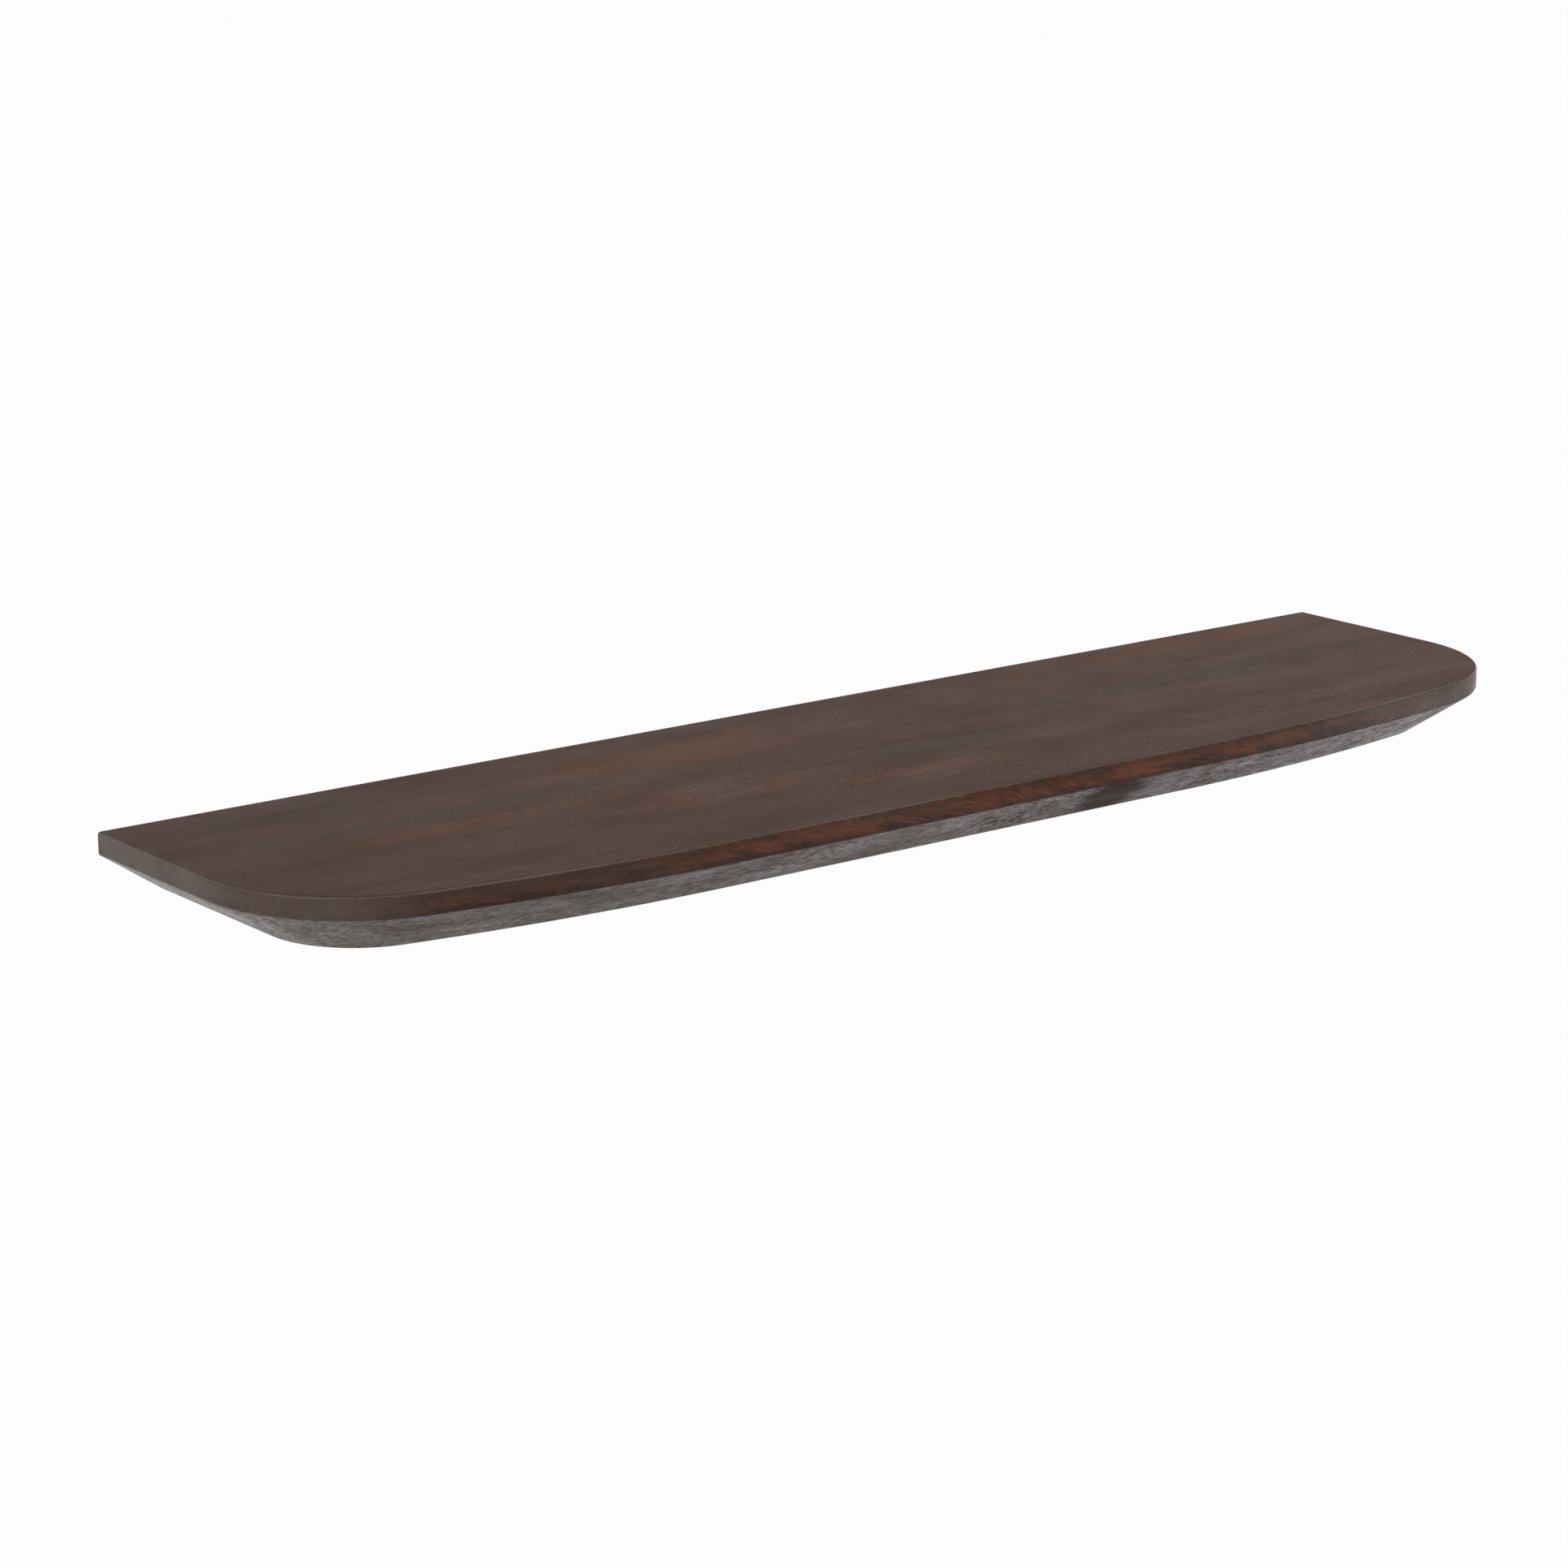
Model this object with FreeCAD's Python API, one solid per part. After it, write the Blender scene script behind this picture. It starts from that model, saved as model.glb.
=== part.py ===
"""Floating wall shelf: a bevelled hardwood board that slides onto a hidden rod bracket.

The board is glued up from staves that run along its length. A steel rail is screwed to the
wall and carries steel rods. The board's back edge is routed out for the rail and bored for
the rods, so that nothing of the bracket shows. Locking screws, in brass inserts let into
the underside, press on the rods and hold the board on.

Frame, in millimetres: the origin is the centre of the rail's wall face, in the plane of the
wall. +X runs along the shelf, +Y points into the wall and +Z is up, so the room lies
towards -Y.
"""
import FreeCAD
import Part
import math
import os

# ---------------------------------------------------------------- driving dimensions, mm

# Board
board_length = 1000.0
board_depth = 250.0
rim_height = 14.0  # upright edge round the sides and the front
bevel_height = 29.0  # the bevel under the rim, from the rim down to the flat underside
bevel_width = 43.0  # how far the bevel runs in from the rim
corner_radius = 105.0
corner_turn = 80.0  # degrees that a corner turns before the shoulder takes over
shoulder_radius = 1300.0  # long arc that leads from a corner into the straight front
top_arris_radius = 2.0  # the edge between the top and the rim
lower_arris_radius = 2.0  # the edges between the rim, the bevel and the underside
stave_nodes = ("back_stave", "middle_stave", "front_stave")  # from the wall to the front

# Wall rail
rail_height = 28.0
rail_thickness = 5.0
rail_end_cover = 100.0  # wood between each end of the rail and the board's end
rail_corner_radius = 5.0
rail_edge_break = 0.6
wall_screw_hole = 5.5  # diameter
wall_screw_head = 10.5  # diameter of the 90-degree countersink at the rail's front face
wall_screw_offset = 60.0  # each wall screw sits this far inboard of its rod

# Support rods
rod_count = 4
rod_diameter = 12.0
rod_end_margin = 40.0  # from the rail's end to the centre of the outermost rod
rod_spigot_diameter = 8.0  # threaded end that screws into the rail
rod_tip_chamfer = 1.5
rod_flats_across = 10.0  # two flats for a spanner
rod_flats_length = 8.0
rod_flats_setback = 3.0  # from the rod's shoulder to the flats
rod_front_cover = 52.0  # wood between the end of a rod's bore and the start of the bevel

# Locking screws and their inserts
lock_setback = 40.0  # from the wall plane to the screws' axes
lock_screw_diameter = 6.0
lock_screw_length = 12.0
lock_screw_chamfer = 0.7
lock_socket_across = 3.0  # hexagon socket
lock_socket_depth = 3.0
insert_diameter = 10.0  # over the ridges of the outer thread
insert_root_diameter = 8.6
insert_length = 10.0
insert_ridge_count = 5
insert_slot_width = 1.6
insert_slot_depth = 2.0
insert_recess = 0.5  # how far the insert sits above the underside

# Clearances
rail_edge_gap = 1.0  # round the rail in its recess
rail_face_gap = 0.5  # between the rail's front face and the recess floor
rod_bore_gap = 0.3  # all round a rod in its bore
rod_tip_gap = 5.0  # between a rod's tip and the end of its bore
bore_mouth_chamfer = 2.0
thread_gap = 0.05  # between a thread and the hole that it is screwed into
lock_rod_gap = 0.3  # between a locking screw's tip and the rod above it
lock_way_gap = 0.3  # all round a locking screw where it passes through the wood

# ---------------------------------------------------------------- sizes that follow

board_height = rim_height + bevel_height
board_top = board_height / 2
board_bottom = -board_height / 2
rim_bottom = board_top - rim_height
stave_width = board_depth / len(stave_nodes)

# The outline runs down a straight side, round a corner arc, along the shoulder arc and then
# straight along the front. Each arc turns about its own upright axis.
turn = math.radians(corner_turn)
side_length = (board_depth - corner_radius * math.sin(turn)
               - shoulder_radius * (1 - math.sin(turn)))
corner_x = board_length / 2 - corner_radius
corner_y = -side_length
shoulder_x = corner_x - (shoulder_radius - corner_radius) * math.cos(turn)
shoulder_y = corner_y + (shoulder_radius - corner_radius) * math.sin(turn)
shoulder_turn = 90 - corner_turn

# From the wall on the right round to the wall on the left: a straight step has no centre,
# and an arc has its centre and the degrees that it turns.
outline_steps = (
    (None, FreeCAD.Vector(0, -side_length, 0)),
    (FreeCAD.Vector(corner_x, corner_y, 0), -corner_turn),
    (FreeCAD.Vector(shoulder_x, shoulder_y, 0), -shoulder_turn),
    (None, FreeCAD.Vector(-2 * shoulder_x, 0, 0)),
    (FreeCAD.Vector(-shoulder_x, shoulder_y, 0), -shoulder_turn),
    (FreeCAD.Vector(-corner_x, corner_y, 0), -corner_turn),
    (None, FreeCAD.Vector(0, side_length, 0)),
)

rail_length = board_length - 2 * rail_end_cover
rail_front = -rail_thickness
recess_floor = rail_front - rail_face_gap

rod_radius = rod_diameter / 2
bore_radius = rod_radius + rod_bore_gap
bore_end = -(board_depth - bevel_width - rod_front_cover)
rod_tip = bore_end + rod_tip_gap
rod_spacing = (rail_length - 2 * rod_end_margin) / (rod_count - 1)
rod_places = [(n - (rod_count - 1) / 2) * rod_spacing for n in range(rod_count)]

lock_tip = -rod_radius - lock_rod_gap
lock_screw_radius = lock_screw_diameter / 2
insert_bottom = board_bottom + insert_recess
insert_top = insert_bottom + insert_length

# Lengths that only make a cutting tool run clear of the face that it cuts
overcut = 5.0

# Two heights closer than this are the same level
level_tolerance = 0.001

ORIGIN = FreeCAD.Vector(0, 0, 0)
FULL_TURN = 360
TO_WALL = FreeCAD.Vector(0, 1, 0)
TO_FRONT = FreeCAD.Vector(0, -1, 0)
UP = FreeCAD.Vector(0, 0, 1)
DOWN = FreeCAD.Vector(0, 0, -1)


# ---------------------------------------------------------------- helpers

def save(node, shape):
    """Write one sub-part to its own STEP file."""
    shape.exportStep(os.path.join("parts", node + ".step"))
    print(node, "volume", round(shape.Volume), "mm3, solids", len(shape.Solids))


def box(x_range, y_range, z_range):
    """A block between two corners."""
    low = FreeCAD.Vector(x_range[0], y_range[0], z_range[0])
    return Part.makeBox(x_range[1] - x_range[0], y_range[1] - y_range[0],
                        z_range[1] - z_range[0], low)


def rod_along(start, radius, length, direction):
    """A cylinder from its start point along a direction."""
    return Part.makeCylinder(radius, length, start, direction)


def cone_along(start, start_radius, end_radius, length, direction):
    """A cone from its start point along a direction."""
    return Part.makeCone(start_radius, end_radius, length, start, direction)


def hexagon_prism(centre, across_flats, length, direction):
    """A six-sided prism that starts at a centre point and runs along a direction."""
    corner = across_flats / math.sqrt(3)
    points = []
    for degrees in range(0, FULL_TURN, 60):
        angle = math.radians(degrees)
        points.append(centre + FreeCAD.Vector(corner * math.cos(angle),
                                              corner * math.sin(angle), 0))
    points.append(points[0])
    return Part.Face(Part.makePolygon(points)).extrude(direction * length)


# ---------------------------------------------------------------- board

def eased_corner(before, corner, after, radius):
    """The arc that rounds a corner between two straight runs, and its two end points."""
    back = (before - corner).normalize()
    onward = (after - corner).normalize()
    half_angle = back.getAngle(onward) / 2
    reach = radius / math.tan(half_angle)
    inward = (back + onward).normalize()
    middle = corner + inward * (radius / math.sin(half_angle) - radius)
    start = corner + back * reach
    end = corner + onward * reach
    return Part.Arc(start, middle, end).toShape(), start, end


def edge_profile():
    """The moulded edge in the wall plane, at the board's right end, from the top down.

    It runs down the rim, in along the bevel and ends on the flat underside, with an eased
    arris at each turn. Its first and last points lie on the top and on the underside.
    """
    side = board_length / 2
    turns = [FreeCAD.Vector(side - bevel_width, 0, board_top),
             FreeCAD.Vector(side, 0, board_top),
             FreeCAD.Vector(side, 0, rim_bottom),
             FreeCAD.Vector(side - bevel_width, 0, board_bottom),
             FreeCAD.Vector(0, 0, board_bottom)]
    radii = (top_arris_radius, lower_arris_radius, lower_arris_radius)
    edges = []
    ends = []
    for n, radius in enumerate(radii):
        eased, start, end = eased_corner(turns[n], turns[n + 1], turns[n + 2], radius)
        if ends:
            edges.append(Part.LineSegment(ends[-1], start).toShape())
        edges.append(eased)
        ends += [start, end]
    return Part.Wire(edges), ends[0], ends[-1]


def carried_round(shape):
    """Carry a shape from the wall round the sides and the front, back to the wall.

    A point sweeps the edges of an outline, and a wire sweeps the faces of a moulded edge.
    Returns what is swept, and the shape as it arrives.
    """
    swept = []
    for centre, step in outline_steps:
        shape = shape.copy()
        if centre is None:
            swept.append(shape.extrude(step))
            shape.translate(step)
        else:
            swept.append(shape.revolve(centre, UP, step))
            shape.rotate(centre, UP, step)
    return swept, shape


def level_face(corner):
    """The flat top or underside, bounded by a point carried round and closed at the wall."""
    edges, arrived = carried_round(Part.Vertex(corner))
    edges.append(Part.LineSegment(arrived.Point, corner).toShape())
    return Part.Face(Part.Wire(edges))


def board_blank():
    """The whole board before it is routed and bored, as one solid closed by its faces."""
    profile, top_corner, bottom_corner = edge_profile()
    moulded, arrived = carried_round(profile)
    faces = [face for strip in moulded for face in strip.Faces]
    faces += [level_face(top_corner), level_face(bottom_corner)]
    level_edges = []
    for corner in (top_corner, bottom_corner):
        opposite = FreeCAD.Vector(-corner.x, corner.y, corner.z)
        level_edges.append(Part.LineSegment(corner, opposite).toShape())
    back_edges = Part.sortEdges(profile.Edges + arrived.Edges + level_edges)[0]
    faces.append(Part.Face(Part.Wire(back_edges)))
    shell = Part.makeShell(faces)
    shell.sewShape()
    return Part.makeSolid(Part.Shell(shell.Faces))


def rounded_plate(length, height, corner, back, front):
    """An upright plate parallel to the wall, centred on the origin, with round corners."""
    plate = box((-length / 2, length / 2), (front, back), (-height / 2, height / 2))
    corner_edges = [edge for edge in plate.Edges if edge.BoundBox.YLength > level_tolerance]
    corner_edges = [edge for edge in corner_edges if edge.BoundBox.XLength < level_tolerance]
    return plate.makeFillet(corner, corner_edges)


def rod_bore(x):
    """The bore for one rod, with a chamfered mouth in the floor of the recess."""
    mouth = FreeCAD.Vector(x, recess_floor, 0)
    bore = rod_along(mouth - TO_FRONT * overcut, bore_radius, recess_floor + overcut - bore_end,
                     TO_FRONT)
    funnel = cone_along(mouth, bore_radius + bore_mouth_chamfer, bore_radius,
                        bore_mouth_chamfer, TO_FRONT)
    return bore.fuse(funnel)


def lock_way(x):
    """The hole from the underside up to a rod's bore, for an insert and its screw."""
    start = FreeCAD.Vector(x, -lock_setback, board_bottom - overcut)
    insert_hole = rod_along(start, insert_diameter / 2 + thread_gap,
                            overcut + insert_recess + insert_length + thread_gap, UP)
    screw_way = rod_along(start, lock_screw_radius + lock_way_gap, -start.z, UP)
    return insert_hole.fuse(screw_way)


def staves():
    """The routed and bored board, cut along its glue joints into one solid per stave."""
    blank = board_blank()
    cuts = [rounded_plate(rail_length + 2 * rail_edge_gap, rail_height + 2 * rail_edge_gap,
                          rail_corner_radius + rail_edge_gap, overcut, recess_floor)]
    for x in rod_places:
        cuts.append(rod_bore(x))
        cuts.append(lock_way(x))
    board = blank.cut(cuts)
    made = {}
    for n, node in enumerate(stave_nodes):
        back = -n * stave_width
        strip = box((-board_length, board_length), (back - stave_width, back),
                    (-board_height, board_height))
        made[node] = board.common(strip).Solids[0]
    return made


# ---------------------------------------------------------------- bracket

def wall_screw_place(rod_x):
    """A wall screw's place: inboard of its rod, towards the middle of the rail."""
    return rod_x - math.copysign(wall_screw_offset, rod_x)


def wall_rail():
    """The flat bar on the wall, tapped for the rods and countersunk for the wall screws."""
    rail = rounded_plate(rail_length, rail_height, rail_corner_radius, 0, rail_front)
    front_edges = [edge for edge in rail.Edges
                   if edge.BoundBox.YMax < rail_front + level_tolerance]
    rail = rail.makeChamfer(rail_edge_break, front_edges)
    sink_depth = (wall_screw_head - wall_screw_hole) / 2
    cuts = []
    for x in rod_places:
        tapped = FreeCAD.Vector(x, overcut, 0)
        cuts.append(rod_along(tapped, rod_spigot_diameter / 2 + thread_gap,
                              rail_thickness + 2 * overcut, TO_FRONT))
        hole_x = wall_screw_place(x)
        cuts.append(rod_along(FreeCAD.Vector(hole_x, overcut, 0), wall_screw_hole / 2,
                              rail_thickness + 2 * overcut, TO_FRONT))
        cuts.append(cone_along(FreeCAD.Vector(hole_x, rail_front, 0), wall_screw_head / 2,
                               wall_screw_hole / 2, sink_depth, TO_WALL))
    return rail.cut(cuts)


def support_rod(x):
    """One rod: a threaded spigot through the rail, a shoulder, spanner flats, chamfered tip."""
    shoulder = FreeCAD.Vector(x, rail_front, 0)
    straight = rail_front - rod_tip - rod_tip_chamfer
    body = rod_along(shoulder, rod_radius, straight, TO_FRONT)
    tip = cone_along(shoulder + TO_FRONT * straight, rod_radius, rod_radius - rod_tip_chamfer,
                     rod_tip_chamfer, TO_FRONT)
    spigot = rod_along(shoulder, rod_spigot_diameter / 2, rail_thickness, TO_WALL)
    rod = body.fuse([tip, spigot])
    flats_back = rail_front - rod_flats_setback
    for side in (-1, 1):
        near = x + side * rod_flats_across / 2
        far = x + side * rod_diameter
        flat = box(sorted((near, far)), (flats_back - rod_flats_length, flats_back),
                   (-rod_diameter, rod_diameter))
        rod = rod.cut(flat)
    return rod.removeSplitter()


# ---------------------------------------------------------------- locking screws

def lock_insert(x):
    """A brass insert: ridged outside, a plain threaded bore inside, a driver slot below."""
    ridge_step = insert_length / insert_ridge_count
    profile = [FreeCAD.Vector(0, 0, insert_bottom)]
    for n in range(insert_ridge_count):
        root = insert_bottom + n * ridge_step
        profile.append(FreeCAD.Vector(insert_root_diameter / 2, 0, root))
        profile.append(FreeCAD.Vector(insert_diameter / 2, 0, root + ridge_step / 2))
    profile.append(FreeCAD.Vector(insert_root_diameter / 2, 0, insert_top))
    profile.append(FreeCAD.Vector(0, 0, insert_top))
    profile.append(profile[0])
    ridged = Part.Face(Part.makePolygon(profile)).revolve(ORIGIN, UP, FULL_TURN)
    bore = rod_along(FreeCAD.Vector(0, 0, insert_bottom - overcut),
                     lock_screw_radius + thread_gap, insert_length + 2 * overcut, UP)
    slot = box((-insert_diameter, insert_diameter),
               (-insert_slot_width / 2, insert_slot_width / 2),
               (insert_bottom - overcut, insert_bottom + insert_slot_depth))
    insert = ridged.cut([bore, slot])
    insert.translate(FreeCAD.Vector(x, -lock_setback, 0))
    return insert


def lock_screw(x):
    """A headless screw: chamfered at both ends, with a hexagon socket in its lower end."""
    tip = FreeCAD.Vector(x, -lock_setback, lock_tip)
    end_radius = lock_screw_radius - lock_screw_chamfer
    straight = lock_screw_length - 2 * lock_screw_chamfer
    upper = cone_along(tip, end_radius, lock_screw_radius, lock_screw_chamfer, DOWN)
    body = rod_along(tip + DOWN * lock_screw_chamfer, lock_screw_radius, straight, DOWN)
    lower = cone_along(tip + DOWN * (lock_screw_chamfer + straight), lock_screw_radius,
                       end_radius, lock_screw_chamfer, DOWN)
    socket = hexagon_prism(tip + DOWN * lock_screw_length, lock_socket_across,
                           lock_socket_depth, UP)
    return body.fuse([upper, lower]).removeSplitter().cut(socket)


# ---------------------------------------------------------------- build

os.makedirs("parts", exist_ok=True)

for node, shape in staves().items():
    save(node, shape)
save("wall_rail", wall_rail())
for number, x in enumerate(rod_places, start=1):
    save("support_rod_%d" % number, support_rod(x))
    save("lock_insert_%d" % number, lock_insert(x))
    save("lock_screw_%d" % number, lock_screw(x))
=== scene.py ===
# %% [markdown]
# # A floating wall shelf
#
# A dark hardwood board hangs on a hidden steel bracket. The board is glued up from three
# staves, its front corners are large arcs, and its lower edge is bevelled so that it looks
# thin. The bracket is a flat bar with four rods, and four small screws lock the board on.
#
# The construction is already settled, so the first step loads it. It gives every piece its
# place and size, and the rest of this lesson gives every piece its real surface.

# %% Load the construction
import math
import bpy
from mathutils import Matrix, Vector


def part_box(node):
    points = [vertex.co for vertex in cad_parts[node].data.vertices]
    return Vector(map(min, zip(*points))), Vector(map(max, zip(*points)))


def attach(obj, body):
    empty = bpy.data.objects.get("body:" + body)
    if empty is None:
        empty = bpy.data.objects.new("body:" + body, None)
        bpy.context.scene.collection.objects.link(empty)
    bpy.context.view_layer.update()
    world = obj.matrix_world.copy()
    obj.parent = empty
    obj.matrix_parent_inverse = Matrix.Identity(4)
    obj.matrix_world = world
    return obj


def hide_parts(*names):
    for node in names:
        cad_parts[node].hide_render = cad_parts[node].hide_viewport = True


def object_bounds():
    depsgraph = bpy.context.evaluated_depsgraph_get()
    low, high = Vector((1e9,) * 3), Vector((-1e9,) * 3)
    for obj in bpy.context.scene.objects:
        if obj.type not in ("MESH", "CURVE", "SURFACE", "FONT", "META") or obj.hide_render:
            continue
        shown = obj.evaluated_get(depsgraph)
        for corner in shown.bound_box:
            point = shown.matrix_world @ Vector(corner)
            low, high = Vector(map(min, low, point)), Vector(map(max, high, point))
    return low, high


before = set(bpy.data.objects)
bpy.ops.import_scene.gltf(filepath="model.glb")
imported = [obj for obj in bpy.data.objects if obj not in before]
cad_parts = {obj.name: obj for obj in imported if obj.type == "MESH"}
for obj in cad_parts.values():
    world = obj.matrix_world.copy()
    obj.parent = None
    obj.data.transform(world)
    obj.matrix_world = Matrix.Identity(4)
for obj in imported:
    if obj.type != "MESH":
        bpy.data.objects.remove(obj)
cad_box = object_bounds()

from types import SimpleNamespace

import bmesh
import bpy
import numpy as np
from mathutils import Matrix, Vector

print("nodes", len(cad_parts), "box", [tuple(round(v, 4) for v in c) for c in cad_box])

# %% [markdown]
# ## The camera
#
# A long lens from well to the left and a little above: the top shows as a narrow band, and
# the rim and the bevel show below it. A camera looks along its own -Z, so its turn is made of
# three simple turns: the tilt about its own axis, the pitch down, and the yaw to the right.

# %% Camera
camera_place = Vector((-1.62756, -2.12088, 0.66244))
camera_yaw = math.radians(37.766)  # from +Y towards +X
camera_pitch = math.radians(14.511)  # downwards
camera_tilt = math.radians(-0.142)
image_side = 1932  # pixels
focal_pixels = 5092.2

camera_data = bpy.data.cameras.new("camera")
camera_data.sensor_width = 36.0
camera_data.lens = focal_pixels / image_side * camera_data.sensor_width
camera = bpy.data.objects.new("camera", camera_data)
bpy.context.scene.collection.objects.link(camera)
camera.matrix_world = (Matrix.Translation(camera_place)
                       @ Matrix.Rotation(-camera_yaw, 4, "Z")
                       @ Matrix.Rotation(math.pi / 2 - camera_pitch, 4, "X")
                       @ Matrix.Rotation(camera_tilt, 4, "Z"))
bpy.context.scene.camera = camera
print("lens", round(camera_data.lens, 2), "mm")

# %% [markdown]
# ## Sizes of the board
#
# The outline is a straight side, a corner arc, a long shoulder arc and a straight front. Every
# arc keeps its centre when the outline moves inwards, so an inset only shortens its radius.
# That one fact makes the whole moulded edge a formula of two parameters.

# %% Sizes
MM = 0.001
low, high = cad_box
half_length = high.x
depth = -low.y
top = high.z
underside = low.z

rim_height = 14 * MM
bevel_width = 43 * MM
corner_radius = 105 * MM
corner_turn = math.radians(80)
shoulder_radius = 1300 * MM
arris_radius = 2 * MM
back_arris_radius = 0.5 * MM

rim_bottom = top - rim_height
side_length = (depth - corner_radius * math.sin(corner_turn)
               - shoulder_radius * (1 - math.sin(corner_turn)))
corner_x = half_length - corner_radius
shoulder_x = corner_x - (shoulder_radius - corner_radius) * math.cos(corner_turn)
shoulder_y = (shoulder_radius - corner_radius) * math.sin(corner_turn) - side_length

back_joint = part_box("back_stave")[0].y
front_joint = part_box("middle_stave")[0].y
print("glue lines at y", round(back_joint, 4), round(front_joint, 4))

# %% [markdown]
# ## From arrays to a closed mesh
#
# A surface is a grid of points, so its faces are always the same pattern of quads. Grids are
# stacked into one mesh, points that coincide are merged, which closes seams and poles, and
# the normals are then worked out afresh so that all faces point outwards. The count of open
# edges tells at once whether the piece is closed.

# %% Mesh helpers
MERGE_DISTANCE = 0.5e-6
SHARP_ANGLE = math.radians(32)


def grid_faces(rows, columns, rows_close=False, columns_close=False):
    """Quads between neighbouring rows and columns; a closing direction joins last to first."""
    i = np.arange(rows if rows_close else rows - 1)[:, None]
    j = np.arange(columns if columns_close else columns - 1)[None, :]
    next_i, next_j = (i + 1) % rows, (j + 1) % columns
    corners = (i * columns + j, next_i * columns + j, next_i * columns + next_j,
               i * columns + next_j)
    return np.stack(np.broadcast_arrays(*corners), -1).reshape(-1, 4).tolist()


def open_edges(mesh):
    """How many edges have fewer or more than two faces."""
    edge_of_corner = np.zeros(len(mesh.loops), np.int32)
    mesh.loops.foreach_get("edge_index", edge_of_corner)
    return int((np.bincount(edge_of_corner, minlength=len(mesh.edges)) != 2).sum())


def shade(mesh):
    """Smooth shading, broken where two faces meet at a clear angle."""
    mesh.shade_smooth()
    mesh.set_sharp_from_angle(angle=SHARP_ANGLE)


def make_piece(name, points, faces, material=None):
    """A closed mesh object from points and faces, merged and turned outwards."""
    mesh = bpy.data.meshes.new(name)
    mesh.from_pydata(points.reshape(-1, 3).tolist(), [], faces)
    build = bmesh.new()
    build.from_mesh(mesh)
    bmesh.ops.remove_doubles(build, verts=build.verts, dist=MERGE_DISTANCE)
    bmesh.ops.recalc_face_normals(build, faces=build.faces)
    build.to_mesh(mesh)
    build.free()
    if material:
        mesh.materials.append(material)
    shade(mesh)
    piece = bpy.data.objects.new(name, mesh)
    bpy.context.scene.collection.objects.link(piece)
    print(name, len(mesh.vertices), "points", len(mesh.polygons), "faces, open edges",
          open_edges(mesh))
    return piece


# %% [markdown]
# ## Holes by exact cutting
#
# The board is routed and bored after it is glued up, and the mesh is made in the same order.
# A cutter is a closed mesh too. The exact Boolean keeps its material on the faces that it
# leaves behind, so a bore shows raw wood although the board outside is lacquered.

# %% Cutting helpers
def cut_away(piece, cutters):
    """Takes the cutters' volumes out of a piece, one after another."""
    for cutter in cutters:
        step = piece.modifiers.new(cutter.name, "BOOLEAN")
        step.operation = "DIFFERENCE"
        step.solver = "EXACT"
        step.material_mode = "TRANSFER"
        step.object = cutter
    graph = bpy.context.evaluated_depsgraph_get()
    result = bpy.data.meshes.new_from_object(piece.evaluated_get(graph))
    piece.modifiers.clear()
    uncut = piece.data
    piece.data = result
    bpy.data.meshes.remove(uncut)
    result.name = piece.name
    shade(result)
    print(piece.name, "after", len(cutters), "cuts:", len(result.polygons), "faces, open edges",
          open_edges(result), "materials", [m.name for m in result.materials])


def remove_helpers(helpers):
    """Deletes helper objects and their meshes."""
    for helper in helpers:
        mesh = helper.data
        bpy.data.objects.remove(helper)
        bpy.data.meshes.remove(mesh)


# %% [markdown]
# ## Node helpers
#
# Procedural materials are built from nodes. These short helpers add a node, set what is
# constant and link what varies, so that a material reads like a formula.

# %% Node helpers
def fill_inputs(tree, node, inputs):
    """Links each input that is given another node's output, and sets each that is given a value."""
    for key, value in inputs.items():
        if isinstance(value, bpy.types.NodeSocket):
            tree.links.new(value, node.inputs[key])
        else:
            node.inputs[key].default_value = value
    return node


def add_node(tree, kind, inputs, **settings):
    """Adds a node of a kind, with its settings and its inputs by name or number."""
    node = tree.nodes.new(kind)
    for key, value in settings.items():
        setattr(node, key, value)
    return fill_inputs(tree, node, inputs)


def maths(tree, operation, first, second=0.0, clamp=False):
    """One arithmetic step on numbers."""
    return add_node(tree, "ShaderNodeMath", {0: first, 1: second}, operation=operation,
                    use_clamp=clamp).outputs[0]


def product(tree, *factors, clamp=False):
    """Numbers multiplied in turn; only the last step is clamped to 0 to 1."""
    result = factors[0]
    for n, factor in enumerate(factors[1:], start=2):
        result = maths(tree, "MULTIPLY", result, factor, clamp and n == len(factors))
    return result


def inverse(tree, mask):
    """One less a mask."""
    return maths(tree, "SUBTRACT", 1.0, mask)


def vector_maths(tree, operation, first, second):
    """One arithmetic step on vectors."""
    return add_node(tree, "ShaderNodeVectorMath", {0: first, 1: second},
                    operation=operation).outputs[0]


def rescale(tree, value, from_low, from_high, to_low=0.0, to_high=1.0, kind="SMOOTHSTEP"):
    """Carries one range of values to another; the ends are soft unless the kind is LINEAR."""
    return add_node(tree, "ShaderNodeMapRange",
                    {"Value": value, "From Min": from_low, "From Max": from_high,
                     "To Min": to_low, "To Max": to_high}, interpolation_type=kind).outputs[0]


def mix_paint(tree, share, first, second, mode="MIX"):
    """Mixes two colours by a share from 0 to 1."""
    return add_node(tree, "ShaderNodeMix", {0: share, 6: first, 7: second}, data_type="RGBA",
                    blend_type=mode).outputs[2]


def noise(tree, place, scale=1.0, detail=2.0, roughness=0.5):
    """Soft random values round a half."""
    return add_node(tree, "ShaderNodeTexNoise",
                    {"Vector": place, "Scale": scale, "Detail": detail,
                     "Roughness": roughness}).outputs[0]


def stretched_noise(tree, place, counts, detail=3.0, roughness=0.5):
    """Soft random values, with a number of waves to the metre along each axis."""
    return noise(tree, vector_maths(tree, "MULTIPLY", place, counts), 1.0, detail, roughness)


def paint(red, green, blue):
    """A colour as a paint chart shows it, 0 to 255, turned into the light that it sends back."""
    shown = np.array([red, green, blue]) / 255
    light = np.where(shown <= 0.04045, shown / 12.92, ((shown + 0.055) / 1.055) ** 2.4)
    return (*light.tolist(), 1.0)


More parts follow.
